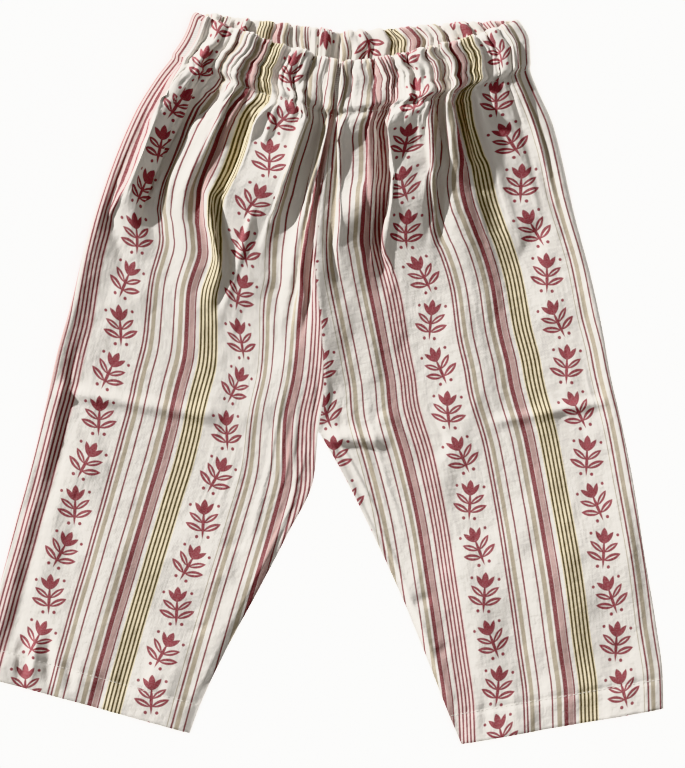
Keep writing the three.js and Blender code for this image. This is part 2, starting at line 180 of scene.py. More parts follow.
# How high the panels lie: the back, the side fold's radius and its distance from the outline,
# the front between its edges, its inner edge, and how far in from there the front drops.
HEIGHTS = table(
    "down back fold inset front edge drop",
    (32, 3.05, 4.85, 1.85, 18.65, 18.65, 12),
    (46, 1.0, 4.7, 0.5, 18.3, 17.0, 12),
    (66, 0.5, 4.3, 0.5, 17.2, 15.4, 12),
    (100, 0.5, 3.6, 0.5, 14.6, 12.4, 14),
    (135, 0.5, 2.9, 0.5, 12.2, 9.4, 18),
    (165, 0.5, 2.3, 0.5, 9.8, 6.6, 24),
    (200, 0.5, 1.8, 0.5, 7.2, 3.2, 34),
    (222, 0.5, 1.6, 0.5, 7.2, 1.8, 26),
    (250, 0.5, 1.4, 0.5, 5.6, 1.4, 12),
    (300, 0.5, 1.2, 0.5, 4.0, 1.5, 6),
    (384, 0.5, 1.3, 0.5, 3.7, 1.8, 5),
    (403, 0.5, 1.95, 0.5, 4.2, 3.2, 8),
    (423, 0.5, 1.95, 0.5, 4.2, 3.2, 8),
)

# The casing: its elastic's heights, and how far the cloth lies from the elastic's middle.
BAND_BACK = 3.95
BAND_FRONT = 18.0
BAND_CLIMB = 48.0  # distance from the side over which the front climbs to its height
BAND_TURN = 4.2  # radius of the turn at the side
BAND_INSET = 6.95  # from the side to the turn's centre
BAND_SHIFT = 0.25  # how much nearer to the side that centre comes at the stitching
BAND_SHIFT_RUN = 8.0
BAND_DROP = 12.0
BAND_FILL = 3.5  # distance above the stitching over which the casing fills out
BAND_LIFT = 1.65
STITCHED_LIFT = 0.65
TOP_ROUND = 5.0  # how far down the waist edge's round reaches
LEG_CLIMB = 0.25  # the least share of the climb that a leg keeps below the crotch

# The gathers: uneven in width, height, reach below the stitching and slant.
GATHER_GAPS = (0.5, 1.6)
GATHER_HEIGHTS = (0.7, 1.15)
GATHER_REACHES = (14.0, 52.0)
GATHER_SLANTS = (-0.09, 0.09)
GATHER_HALF = 0.52  # half a gather's width, as a share of its place
GATHER_WIDE = 10.0  # a gather's width at its full height, and the most that it may exceed that
GATHER_MOST = 1.05
GATHER_SIZE = 2.6  # how high a gather stands at the stitching, and how much more over the elastic
GATHER_SWELL = 3.1
GATHER_AT_EDGE = 0.25  # the share of that height at the side fold and at the inner edge
MEAN_SIZE = 1.4  # what the gathers add on the average, at the stitching and over the elastic
MEAN_SWELL = 0.95
MEAN_REACH = 40.0
STITCH_PINCH = 2.4  # how far from the casing's stitching the thread pulls the cloth down
SMALL_GATHER = 2.9
RUFFLE = 0.4  # how much the waist edge rises over each gather, for each millimetre of its height
RUFFLE_REACH = 12.0
INNER_FRONT_SHARE = 0.3  # how much of the relief the casing's inner layer and the back take
INNER_BACK_SHARE = 0.8
BACK_SHARE = 0.15
BACK_GATHERS = 100  # added to a leg's seed for the gathers of its back

# Over what distances the relief dies out towards the side fold and towards the inner edge.
FRONT_MARGINS = (8.0, 6.0)
BACK_MARGINS = (10.0, 5.0)
CREASE_MARGINS = (8.0, 5.0)
STEEPEST = 0.93  # the most of a step, squared, that a slope takes up
LEAST_GAP = 0.9  # between the front and the back
HEM_GAP = 2.3  # the same where the hem's turn-up lies between them

# The unevenness of worn cloth: the heights of its waves.
BROAD_WAVES = 1.3
MIDDLE_WAVES = 0.75
FINE_WAVES = 0.28
HEM_PUCKERS = 0.5
HEM_GROOVE = 0.7  # how deep the hem's stitching pulls the front in
GROOVE_WIDTH = 1.5
UNEVEN_FROM = 8.0  # distance below the casing's stitching over which the unevenness begins
HEM_GAP_FROM = -3.0  # where the wider gap begins, from the hem's stitching

# The large folds. Each crest runs through "at32", "at90" and "at150", its distances across at
# those depths. It grows from "start" to "full", keeps its height to "fade" and has died out at
# "end". "top" is half the width of its flat top, and "left" and "right" are its flanks, towards
# the viewer's left and right. A negative height is a valley.
FOLD_FIRST = 32.0
FOLD_STEP = 58.0  # to the second depth
FOLD_LAST = 150.0
FOLD_COLUMNS = "at32 at90 at150 height start full fade end top left right"
RIGHT_FOLDS = table(
    FOLD_COLUMNS,
    (20, 19, 17, 15.0, 14, 55, 100, 160, 0, 16, 24),
    (48, 44, 38, -5.0, 20, 50, 110, 150, 0, 12, 12),
    (54, 51, 50, 4.2, 42, 68, 80, 130, 0, 8, 9),
    (60, 62, 62, 4.4, 20, 48, 92, 150, 0, 8, 8),
    (68, 69, 70, -1.7, 30, 50, 90, 130, 0, 6, 6),
    (77, 78, 81, 1.2, 20, 45, 80, 115, 0, 9, 6),
    (77, 78, 87, 5.9, 82, 114, 130, 185, 0, 9, 6),
    (85, 86, 95, -2.1, 20, 50, 135, 180, 0, 5, 5),
    (106, 104, 100, 7.1, 16, 42, 74, 122, 12, 8, 14),
    (119, 116, 111, 3.4, 20, 42, 75, 122, 0, 26, 12),
    (138, 131, 126, -4.2, 20, 45, 100, 150, 0, 12, 10),
    (147, 147, 147, 5.9, 16, 50, 135, 185, 0, 9, 8),
    (150, 150, 150, 0.9, 165, 225, 265, 340, 0, 22, 17),
)
LEFT_FOLDS = table(
    FOLD_COLUMNS,
    (164, 163, 160, 3.2, 20, 45, 75, 130, 2, 6, 6),
    (150, 150, 152, 6.6, 16, 45, 100, 160, 7, 8, 12),
    (129, 129, 130, -5.0, 16, 50, 110, 160, 0, 8, 6),
    (108, 105, 122, 10.0, 14, 42, 86, 136, 11, 10, 15),
    (83, 80, 84, -4.2, 16, 50, 90, 140, 0, 8, 10),
    (71, 70, 67, 8.6, 14, 38, 56, 88, 0, 8, 12),
    (56, 57, 56, -5.0, 20, 42, 70, 100, 0, 8, 6),
    (46, 45, 42, 1.2, 30, 60, 105, 160, 0, 7, 9),
    (16, 14, 12, 3.4, 20, 60, 90, 160, 0, 10, 9),
)
# Bends left in the flat cloth: where each crosses the leg, and how high and how wide it is.
CREASE_COLUMNS = "across0 down0 across1 down1 height width"
RIGHT_CREASES = table(
    CREASE_COLUMNS,
    (-6, 246, 112, 231, 3.2, 4.2),
    (8, 226, 7, 410, 1.1, 4.5),
    (15, 224, 16, 416, -1.3, 4.5),
    (60, 300, 74, 420, 1.2, 14.0),
    (22, 390, 28, 421, -1.8, 2.8),
    (30, 386, 35, 421, 1.5, 3.0),
    (37, 384, 46, 421, -2.0, 3.2),
    (52, 396, 60, 420, -1.3, 3.4),
    (140, 300, 124, 306, -0.8, 3.2),
    (132, 356, 118, 362, -0.9, 2.8),
)
LEFT_CREASES = table(
    CREASE_COLUMNS,
    (-4, 236, 84, 236, 2.3, 3.2),
    (40, 260, 56, 420, 1.2, 14.0),
    (150, 196, 108, 252, -4.4, 7.0),
    (184, 225, 138, 237, 4.6, 5.5),
    (184, 237, 142, 246, -3.4, 4.5),
    (154, 224, 136, 207, -3.0, 4.0),
    (158, 214, 118, 226, 2.4, 6.0),
    (156, 262, 128, 280, -1.2, 5.5),
    (122, 250, 104, 400, 1.4, 12.0),
    (160, 284, 142, 281, -3.0, 3.0),
    (146, 336, 131, 333, -1.5, 3.0),
    (138, 368, 125, 364, -1.2, 3.0),
    (30, 180, 44, 232, -2.4, 8.0),
    (20, 120, 42, 150, -2.4, 6.0),
    (170, 104, 120, 78, 4.4, 13.0),
)

# How far the stripes lie from where an even sheet would put them, away from the side fold: at
# "near", "middle" and "far", the distances across of NEAR_MIDDLE_FAR.
NEAR_MIDDLE_FAR = (30.0, 106.0, 147.0)
BEHIND = -80.0  # how far round the back the shift reaches
AT_FOLD = 0.8  # the share of the near shift at the side fold
RIGHT_DRIFT = table(
    "down near middle far",
    (110, 0.0, 0.0, 0.0),
    (150, 0.8, -1.8, -1.0),
    (182, 2.5, 3.6, -1.0),
    (209, 4.5, 7.5, -1.0),
    (235, 4.6, 6.4, 1.5),
    (262, 3.2, 6.0, 5.5),
    (292, 2.6, 3.9, 4.6),
    (330, 2.6, 2.7, 3.6),
    (375, 1.2, 1.1, 2.4),
    (423, 1.5, 0.4, 1.5),
)
LEFT_DRIFT = table(
    "down near middle far",
    (110, 0.0, 0.0, 0.0),
    (150, -2.0, 0.0, 0.0),
    (180, -1.4, 1.5, -1.5),
    (208, -3.6, -1.2, -4.0),
    (252, -4.8, -6.0, -7.6),
    (285, -4.4, -6.0, -9.4),
    (330, -5.4, -5.8, -10.0),
    (375, -3.6, -5.4, -9.0),
    (423, -3.8, -5.0, -9.0),
)

LEGS = {
    "right": {
        "side": RIGHT_SIDE,
        "inseam": RIGHT_INSEAM,
        "fullness": RIGHT_FULLNESS,
        "folds": RIGHT_FOLDS,
        "creases": RIGHT_CREASES,
        "drift": RIGHT_DRIFT,
        "gathers": 13,
        "seed": 11,
        "hand": 1,
        "column": 30.0,
        "flat": (0.336, 0.474),
    },
    "left": {
        "side": LEFT_SIDE,
        "inseam": LEFT_INSEAM,
        "fullness": LEFT_FULLNESS,
        "folds": LEFT_FOLDS,
        "creases": LEFT_CREASES,
        "drift": LEFT_DRIFT,
        "gathers": 15,
        "seed": 29,
        "hand": -1,
        "column": 106.3,
        "flat": (0.364, 0.474),
    },
}

FRONT_COLUMNS = 220
TURN_COLUMNS = 7
BACK_COLUMNS = 96
TOP_ROWS = (0.1, 0.45, 1.0, 1.8, 2.7, 3.8, 5.0)  # depths of the rows round the waist edge
HEM_ROWS = 8  # rows of the hem's turn-up
FIRST_ROW = 0.6  # from the hem's edge to the row beside it
HEM_INSET = 0.9  # how far the turn-up lies inside the leg, and the hem's edge
EDGE_INSET = 0.45
OUTER_ROWS = table(
    "start stop step",
    (LEG_LENGTH - FIRST_ROW, LEG_LENGTH - HEM_DEPTH - 6.0, -1.6),
    (LEG_LENGTH - HEM_DEPTH - 6.5, 205.0, -2.0),
    (204.0, 62.0, -2.0),
    (60.5, CASING_DEPTH, -1.5),
    (CASING_DEPTH, TOP_ROUND, -1.5),
)
NOISE_CELLS = 64


def smooth(value):
    """An S-curve from 0 to 1."""
    t = np.clip(value, 0.0, 1.0)
    return t * t * (3.0 - 2.0 * t)


def at(rows, name, down):
    """A table's column at a depth, with no overshoot between its rows."""
    x = rows["down"]
    y = rows[name]
    secant = np.diff(y) / np.diff(x)
    before = np.concatenate([secant[:1], secant])
    after = np.concatenate([secant, secant[-1:]])
    product = before * after
    total = np.where(before + after == 0.0, 1.0, before + after)
    slope = np.where(product <= 0.0, 0.0, 2.0 * product / total)
    i = int(np.clip(np.searchsorted(x, down) - 1, 0, len(x) - 2))
    step = x[i + 1] - x[i]
    t = min(max((down - x[i]) / step, 0.0), 1.0)
    rise = t * (1 - t) * ((1 - t) * slope[i] - t * slope[i + 1]) * step
    return y[i] + (y[i + 1] - y[i]) * smooth(t) + rise


def noise(x, y, seed):
    """Smooth value noise between -1 and 1, one cell for each unit of x and y."""
    grid = np.random.default_rng(seed).uniform(-1.0, 1.0, (NOISE_CELLS, NOISE_CELLS))
    xi = np.floor(x).astype(int)
    yi = np.floor(y).astype(int)
    u = smooth(x - xi)
    v = smooth(y - yi)

    def corner(i, j):
        return grid[(xi + i) % NOISE_CELLS, (yi + j) % NOISE_CELLS]

    low = corner(0, 0) * (1 - u) + corner(1, 0) * u
    high = corner(0, 1) * (1 - u) + corner(1, 1) * u
    return low * (1 - v) + high * v


# ---- The surface ---------------------------------------------------------------------------


def inner_edge(leg, down, is_back):
    """The centre seam down to the crotch, and the inseam below it."""
    line = leg["inseam"] if down > RISE else CENTRE_SEAM
    edge = np.array([at(line, "x", down), at(line, "y", down)])
    if is_back:
        edge[1] += BACK_EXTRA_RISE * min(max(1.0 - down / RISE, 0.0), 1.0)
    return edge


def section(leg, down):
    """The side of a leg at a depth, and its front's and back's way and width in plan."""
    side = np.array([at(leg["side"], "x", down), at(leg["side"], "y", down)])
    front = inner_edge(leg, down, False) - side
    back = inner_edge(leg, down, True) - side
    front_reach = np.linalg.norm(front)
    back_reach = np.linalg.norm(back)
    return side, front / front_reach, back / back_reach, front_reach, back_reach


def cloth_width(leg, half, down):
    """The width of the cloth in the "front" or the "back", from the side fold to the inner edge."""
    reach = section(leg, down)[3 if half == "front" else 4]
    return at(leg["fullness"], half, down) * reach


def casing_share(down):
    """How full the casing stands: 0 at the stitching and at the waist edge, 1 over the elastic."""
    near_top = min(max(down / TOP_ROUND, 0.0), 1.0)
    round_over = math.sqrt(max(1.0 - (1.0 - near_top) ** 2, 0.0))
    return round_over * smooth((CASING_DEPTH - down) / BAND_FILL)


def levels(down, inner):
    """The heights and radii of one row; "inner" is the casing's layer that faces the wearer."""
    if down >= CASING_DEPTH and not inner:
        names = ("back", "fold", "inset", "front", "edge", "drop")
        row = {name: at(HEIGHTS, name, down) for name in names}
        row["start"] = row["inset"] + row["fold"]
        climb = min(max(1.0 + LEG_CLIMB - down / RISE, LEG_CLIMB), 1.0)
        row["climb"] = climb * BAND_CLIMB
        return row
    stitched = STITCHED_LIFT * smooth(down / TOP_ROUND)
    lift = stitched + (BAND_LIFT - stitched) * casing_share(down)
    lift = -lift if inner else lift
    front = BAND_FRONT + lift
    shift = BAND_SHIFT * smooth((down - CASING_DEPTH + BAND_SHIFT_RUN) / BAND_SHIFT_RUN)
    return {
        "back": BAND_BACK - lift,
        "fold": BAND_TURN + lift,
        "start": BAND_INSET - shift,
        "front": front,
        "edge": front,
        "drop": BAND_DROP,
        "climb": BAND_CLIMB,
    }


def gather_places(leg, width):
    """Each gather's crest across a half, its width, height, reach and slant."""
    rng = np.random.default_rng(leg["seed"])
    count = leg["gathers"]
    gaps = rng.uniform(*GATHER_GAPS, count)
    edges = np.concatenate([[0.0], np.cumsum(gaps)])
    edges *= width / edges[-1]
    crests = (edges[:-1] + edges[1:]) / 2
    heights = rng.uniform(*GATHER_HEIGHTS, count)
    reaches = rng.uniform(*GATHER_REACHES, count)
    slants = rng.uniform(*GATHER_SLANTS, count)
    return zip(crests, np.diff(edges), heights, reaches, slants)


def gather_relief(leg, across, down, width):
    """The gathers: rounded puffs over the elastic that run out below the stitching."""
    relief = np.zeros_like(across)
    over = casing_share(down) if down < CASING_DEPTH else 0.0
    for middle, wide, height, reach, slant in gather_places(leg, width):
        crest = middle + slant * (down - CASING_DEPTH / 2)
        off = np.clip(np.abs(across - crest) / (GATHER_HALF * wide), 0.0, 1.0)
        puff = (1.0 - off**2) ** 0.5
        if down <= CASING_DEPTH:
            size = GATHER_SIZE + GATHER_SWELL * over
        else:
            size = GATHER_SIZE * (1.0 - smooth((down - CASING_DEPTH) / reach))
        relief += height * size * puff * min(wide / GATHER_WIDE, GATHER_MOST)
    pinch = math.exp(-(((down - CASING_DEPTH) / STITCH_PINCH) ** 2))
    return relief * (1.0 - 0.5 * pinch) + small_gathers(leg, across, down)


def small_gathers(leg, across, down):
    """Sharp little valleys between and on the gathers, where the elastic crumples the casing."""
    fade = 1.0 - smooth((down - CASING_DEPTH + 4.0) / 14.0)
    wave = noise(across / 4.8 + down / 110.0, down / 34.0 + across / 60.0, leg["seed"] + 7)
    return SMALL_GATHER * fade * (np.abs(wave) ** 0.6 - 0.5)


def fold_relief(leg, across, down):
    """The large folds that fall from the gathers."""
    relief = np.zeros_like(across)
    for fold in rows_of(leg["folds"]):
        if down < fold["start"] or down > fold["end"]:
            continue
        a, b, c = fold["at32"], fold["at90"], fold["at150"]
        way = (down - FOLD_FIRST) / FOLD_STEP
        bend = c - 2.03 * b + 1.03 * a
        crest = a + (b - a) * way + 0.5 * bend * way * (way - 1.0) if down < FOLD_LAST else c
        rise = smooth((down - fold["start"]) / (fold["full"] - fold["start"]))
        dying = smooth((down - fold["fade"]) / (fold["end"] - fold["fade"]))
        off = across - crest
        flank = np.where(off * leg["hand"] < 0.0, fold["left"], fold["right"])
        beyond = np.maximum(np.abs(off) - fold["top"], 0.0)
        turn = np.clip(beyond / (flank * (1.0 + 0.5 * dying)), 0.0, 1.0) * np.pi / 2
        relief += fold["height"] * rise * (1.0 - dying) * np.cos(turn) ** 2
    return relief


def crease_relief(creases, across, down):
    """Slight bends left in the flat cloth."""
    relief = np.zeros_like(across)
    for crease in rows_of(creases):
        start = np.array([crease["across0"], crease["down0"]])
        way = np.array([crease["across1"], crease["down1"]]) - start
        length = np.linalg.norm(way)
        way = way / length
        along = (across - start[0]) * way[0] + (down - start[1]) * way[1]
        off = (across - start[0]) * way[1] - (down - start[1]) * way[0]
        run_out = min(18.0, length / 3.0)
        ends = smooth(along / run_out) * smooth((length - along) / run_out)
        relief += crease["height"] * ends * np.exp(-((off / crease["width"]) ** 2))
    return relief


def cloth_relief(leg, across, down):
    """The unevenness of cloth that has been worn and washed, stronger by the hem's stitching."""
    seed = leg["seed"]
    broad = noise(across / 30.0 + down / 90.0, down / 52.0 - across / 70.0, seed + 1)
    middle = noise(across / 15.0 - down / 60.0, down / 22.0 + across / 40.0, seed + 4)
    fine = noise(across / 7.0, np.full_like(across, down / 11.0), seed + 2)
    pucker = noise(across / 5.5, np.full_like(across, down / 30.0), seed + 3)
    near_hem = math.exp(-(((down - (LEG_LENGTH - HEM_DEPTH)) / 12.0) ** 2))
    low_down = smooth((down - 60.0) / 120.0)
    waves = BROAD_WAVES * broad * low_down + MIDDLE_WAVES * middle + FINE_WAVES * fine
    return waves + HEM_PUCKERS * near_hem * pucker


def press_creases(leg, grid):
    """The front with its creases and its unevenness pressed into it."""
    pressed = grid.copy()
    for i, (down, inner, inset, _) in enumerate(leg_rows()):
        if inner or down <= CASING_DEPTH:
            continue
        row = levels(down, False)
        arc = math.pi * row["fold"]
        width = cloth_width(leg, "front", down)
        across = across_places(width, arc, FRONT_COLUMNS)
        relief = crease_relief(leg["creases"], across, down)
        relief += cloth_relief(leg, across, down) * smooth((down - CASING_DEPTH) / UNEVEN_FROM)
        past_stitches = down - LEG_LENGTH + HEM_DEPTH
        relief -= HEM_GROOVE * math.exp(-((past_stitches / GROOVE_WIDTH) ** 2))
        relief *= margin_at(across, arc, width, CREASE_MARGINS)
        front = pressed[i, :FRONT_COLUMNS + 1]
        floor = row["back"] + (HEM_GAP if past_stitches > HEM_GAP_FROM else LEAST_GAP) - inset
        front[:, 2] = np.maximum(front[:, 2] + relief, np.minimum(floor, front[:, 2]))
    return pressed


def across_places(width, turn_arc, columns):
    """The columns' distances across, from the inner edge to the start of the side's turn."""
    return np.linspace(width, turn_arc / 2, columns + 1)


def margin_at(across, arc, width, margins):
    """1 in the middle of a half, and 0 where it meets the side's turn and at its inner edge."""
    return smooth((across - arc / 2) / margins[0]) * smooth((width - across) / margins[1])


def gathered_relief(leg, half, across, down, arc, margins):
    """The gathers of a row, and how far they may die out towards its ends."""
    margin = margin_at(across, arc, cloth_width(leg, half, down), margins)
    width = cloth_width(leg, half, min(down, CASING_DEPTH))
    relief = gather_relief(leg, across, down, width)
    return relief * (GATHER_AT_EDGE + (1.0 - GATHER_AT_EDGE) * margin), margin


def plan_shares(relief, across):
    """How far along a row in plan each point lies, where the relief takes up cloth: 0 to 1."""
    slope = np.gradient(relief, across)
    speed = np.sqrt(1.0 - np.clip(slope**2, 0.0, STEEPEST))
    way = np.concatenate([[0.0], np.cumsum(0.5 * (speed[1:] + speed[:-1]))])
    return way / way[-1]


def front_row(leg, down, inner):
    """One row of the front, from its inner edge to the side fold."""
    side, way, _, reach_all, _ = section(leg, down)
    row = levels(down, inner)
    arc = math.pi * row["fold"]
    across = across_places(cloth_width(leg, "front", down), arc, FRONT_COLUMNS)
    relief, margin = gathered_relief(leg, "front", across, down, arc, FRONT_MARGINS)
    relief += fold_relief(leg, across, down) * margin
    reach = reach_all - row["start"]
    along = plan_shares(relief[::-1], across[::-1])[::-1] * reach
    share = (row["start"] + along) / reach_all
    sag = at(leg["side"], "sag", down)
    rise = ruffle(relief, down)
    x = side[0] + way[0] * (row["start"] + along) - way[1] * rise * leg["hand"]
    y = side[1] + way[1] * (row["start"] + along) - 4.0 * sag * share * (1.0 - share)
    y += abs(way[0]) * rise
    fold_top = row["back"] + 2.0 * row["fold"]
    open_z = fold_top + (row["front"] - fold_top) * smooth(along / row["climb"])
    near = 1.0 - smooth((reach - along) / row["drop"])
    z = open_z + (row["edge"] - row["front"]) * near
    if inner:
        z = z - INNER_FRONT_SHARE * relief
    else:
        z = np.maximum(z + relief - mean_relief(down), row["back"] + LEAST_GAP)
    return np.stack([x, y, z], 1), across


def ruffle(relief, down):
    """How far the waist edge's gathers stand up out of its line."""
    return RUFFLE * (relief - mean_relief(0.0)) * (1.0 - smooth(down / RUFFLE_REACH))


def mean_relief(down):
    """What the relief adds on the average, taken off so that the front keeps its height."""
    over = casing_share(down) if down < CASING_DEPTH else 0.0
    if down <= CASING_DEPTH:
        return MEAN_SIZE + MEAN_SWELL * over
    return MEAN_SIZE * (1.0 - smooth((down - CASING_DEPTH) / MEAN_REACH))


def turn_row(leg, down, inner):
    """One row round the side fold, from the front to the back."""
    side, front, back, _, _ = section(leg, down)
    row = levels(down, inner)
    share = np.arange(1, TURN_COLUMNS) / TURN_COLUMNS
    angle = np.pi * share
    way = front[None] * (1 - share[:, None]) + back[None] * share[:, None]
    way /= np.linalg.norm(way, axis=1)[:, None]
    along = row["start"] - row["fold"] * np.sin(angle)
    place = side[None] + way * along[:, None]
    z = row["back"] + row["fold"] * (1.0 + np.cos(angle))
    across = math.pi * row["fold"] * (0.5 - share)
    return np.column_stack([place, z]), across


def back_row(leg, down, inner):
    """One row of the back, from the side fold to its inner edge."""
    side, _, way, _, reach_all = section(leg, down)
    row = levels(down, inner)
    arc = math.pi * row["fold"]
    across = across_places(cloth_width(leg, "back", down), arc, BACK_COLUMNS)[::-1]
    back_leg = {**leg, "seed": leg["seed"] + BACK_GATHERS}
    relief, _ = gathered_relief(back_leg, "back", across, down, arc, BACK_MARGINS)
    along = row["start"] + plan_shares(relief, across) * (reach_all - row["start"])
    place = side[None] + way[None] * along[:, None]
    place[:, 1] += ruffle(relief, down)
    z = row["back"] + (INNER_BACK_SHARE if inner else BACK_SHARE) * relief
    return np.column_stack([place, z]), -across


def row_points(leg, down, inner=False, inset=0.0):
    """A whole row, from the front's inner edge round the side to the back's inner edge."""
    front, front_across = front_row(leg, down, inner)
    turn, turn_across = turn_row(leg, down, inner)
    back, back_across = back_row(leg, down, inner)
    points = np.concatenate([front, turn, back])
    across = np.concatenate([front_across, turn_across, back_across])
    if inset:
        n_front, n_turn = len(front), len(turn)
        points[:n_front, 2] -= inset
        points[n_front + n_turn:, 2] += inset
        middle = points[n_front:n_front + n_turn, 2]
        centre = (points[n_front - 1, 2] + points[n_front + n_turn, 2]) / 2
        points[n_front:n_front + n_turn, 2] = centre + (middle - centre) * 0.5
    return points, across


def leg_rows():
    """The rows of a leg's sheet: (down, inner layer, inset, down along the cloth)."""
    rows = []
    for down in np.linspace(LEG_LENGTH - HEM_DEPTH, LEG_LENGTH - FIRST_ROW, HEM_ROWS):
        rows.append((down, False, HEM_INSET, 2 * LEG_LENGTH - down))
    rows.append((LEG_LENGTH, False, EDGE_INSET, LEG_LENGTH))
    outer = [np.arange(run["start"], run["stop"], run["step"]) for run in rows_of(OUTER_ROWS)]
    for down in np.concatenate([*outer, TOP_ROWS[::-1]]):
        rows.append((down, False, 0.0, down))
    rows.append((0.0, False, 0.0, 0.0))
    for down in np.concatenate([TOP_ROWS, np.arange(6.5, CASING_DEPTH, 1.5)]):
        rows.append((down, True, 0.0, -down))
    return rows


def outer_rows():
    """The numbers of the rows that lie in the outer layer, the hem's edge left out."""
    return [i for i, row in enumerate(leg_rows()) if not row[1] and row[2] == 0.0]


def drift(leg, across, down):
    """How far the stripes have shifted from an even sheet's at a depth."""
    shifts = [at(leg["drift"], name, down) for name in ("near", "middle", "far")]
    return np.interp(across, (BEHIND, 0.0, *NEAR_MIDDLE_FAR), (0.0, AT_FOLD * shifts[0], *shifts))


def leg_grid(leg):
    """The leg's points, and where each lies on the flat cloth."""
    grid = []
    cloth = []
    for down, inner, inset, along in leg_rows():
        points, across = row_points(leg, float(down), inner, inset)
        grid.append(points)
        place = leg["hand"] * (across - leg["column"] - drift(leg, across, down))
        cloth.append(np.column_stack([place, np.full(len(across), along)]))
    return np.array(grid), np.array(cloth)


# ---- Settling ------------------------------------------------------------------------------

SETTLE_SCALE = 10.0  # the cloth settles at ten times its size, which suits the solver
SETTLE_STEP = 2  # it settles as every second row and column
SETTLE_FRAMES = 24
SETTLE_FROM = 24.0  # depths between which the front settles
SETTLE_TO = 330.0
SETTLE_END = 322.0
SETTLE_EDGE = 1  # columns held at each edge
SETTLE_LIMIT = 9.0  # the furthest that a point may move
SETTLE_FLOOR = 0.6  # height of the back, which the front can't sink through
SETTLING = {
    "quality": 6,
    "mass": 0.05,
    "tension_stiffness": 40.0,
    "compression_stiffness": 40.0,
    "shear_stiffness": 10.0,
    "bending_model": "ANGULAR",
    "bending_stiffness": 0.3,
    "tension_damping": 5.0,
    "compression_damping": 5.0,
    "shear_damping": 5.0,
    "bending_damping": 0.5,
    "air_damping": 2.0,
    "vertex_group_mass": "held",
    "pin_stiffness": 1.0,
}
SETTLING_GAP = 0.001  # between the settling cloth and its floor
SETTLING_FLOOR = 3.0  # half the floor's side


def spread_over(values, places, wanted):
    """Values given at some places along the first axis, interpolated to all the wanted places."""
    upper = np.clip(np.searchsorted(places, wanted), 1, len(places) - 1)
    share = (wanted - places[upper - 1]) / (places[upper] - places[upper - 1])
    share = share.reshape(-1, *[1] * (values.ndim - 1))
    return values[upper - 1] * (1.0 - share) + values[upper] * share


def settling_cloth(panel, flat, held):
    """A coarse sheet that wants to go back to its cut, held where "held" says."""
    count, columns = panel.shape[:2]
    index = np.arange(count * columns).reshape(count, columns)
    quads = np.stack([index[:-1, :-1], index[:-1, 1:], index[1:, 1:], index[1:, :-1]], -1)
    mesh = bpy.data.meshes.new("settling")
    start = panel.reshape(-1, 3) * MM * SETTLE_SCALE
    mesh.from_pydata(start.tolist(), [], quads.reshape(-1, 4).tolist())
    work = bpy.data.objects.new("settling", mesh)
    bpy.context.scene.collection.objects.link(work)
    work.shape_key_add(name="lie")
    cut = work.shape_key_add(name="cut")
    places = np.zeros((count * columns, 3))
    places[:, :2] = flat.reshape(-1, 2) * MM * SETTLE_SCALE
    cut.data.foreach_set("co", places.ravel())
    cut.value = 0.0
    group = work.vertex_groups.new(name="held")
    group.add(np.nonzero(held.ravel())[0].tolist(), 1.0, "REPLACE")

    modifier = work.modifiers.new("cloth", "CLOTH")
    for name, value in SETTLING.items():
        setattr(modifier.settings, name, value)
    modifier.settings.rest_shape_key = cut
    modifier.collision_settings.use_collision = True
    modifier.collision_settings.distance_min = SETTLING_GAP
    modifier.collision_settings.use_self_collision = False
    modifier.point_cache.frame_start = 1
    modifier.point_cache.frame_end = SETTLE_FRAMES
    return work


def square(half):
    """The corners of a level square about the origin."""
    return [(-half, -half, 0.0), (half, -half, 0.0), (half, half, 0.0), (-half, half, 0.0)]


def settling_floor():
    """The plane that stands for the back while the front settles."""
    mesh = bpy.data.meshes.new("settling_floor")
    mesh.from_pydata(square(SETTLING_FLOOR), [], [(0, 1, 2, 3)])
    floor = bpy.data.objects.new("settling_floor", mesh)
    bpy.context.scene.collection.objects.link(floor)
    floor.location.z = SETTLE_FLOOR * MM * SETTLE_SCALE
    floor.modifiers.new("collision", "COLLISION")
    floor.collision.thickness_outer = SETTLING_GAP
    return floor


def settle(grid, cloth):
    """Lets the front of a leg fall into creases of its own, held at its edges and in the casing."""
    marks = leg_rows()
    rows = np.array([i for i in outer_rows() if SETTLE_FROM < marks[i][0] < SETTLE_TO])
    coarse_rows = np.unique(np.append(np.arange(0, len(rows), SETTLE_STEP), len(rows) - 1))
    coarse_columns = np.arange(0, FRONT_COLUMNS + 1, SETTLE_STEP)
    pick = np.ix_(rows[coarse_rows], coarse_columns)
    panel = grid[pick]
    down = cloth[pick][:, :, 1]
    edge = np.minimum(np.arange(len(coarse_columns)), np.arange(len(coarse_columns))[::-1])
    free = (edge[None] > SETTLE_EDGE) & (down > CASING_DEPTH + 0.5) & (down < SETTLE_END)
    work = settling_cloth(panel, cloth[pick], ~free)
    floor = settling_floor()
    scene = bpy.context.scene
    for number in range(1, SETTLE_FRAMES + 1):
        scene.frame_set(number)
    shown = work.evaluated_get(bpy.context.evaluated_depsgraph_get())
    settled = np.empty(panel.size)
    shown.data.vertices.foreach_get("co", settled)
    moved = settled.reshape(panel.shape) / (MM * SETTLE_SCALE) - panel
    scene.frame_set(1)
    for made in (work, floor):
        mesh = made.data
        bpy.data.objects.remove(made)
        bpy.data.meshes.remove(mesh)
    far = np.linalg.norm(moved, axis=2)
    moved *= np.minimum(1.0, SETTLE_LIMIT / np.maximum(far, 1e-6))[..., None]
    fine = spread_over(moved, coarse_rows, np.arange(len(rows)))
    fine = spread_over(fine.swapaxes(0, 1), coarse_columns, np.arange(FRONT_COLUMNS + 1))
    settled_grid = grid.copy()
    settled_grid[rows, :FRONT_COLUMNS + 1] += fine.swapaxes(0, 1)
    return settled_grid


# ---- Settings ------------------------------------------------------------------------------


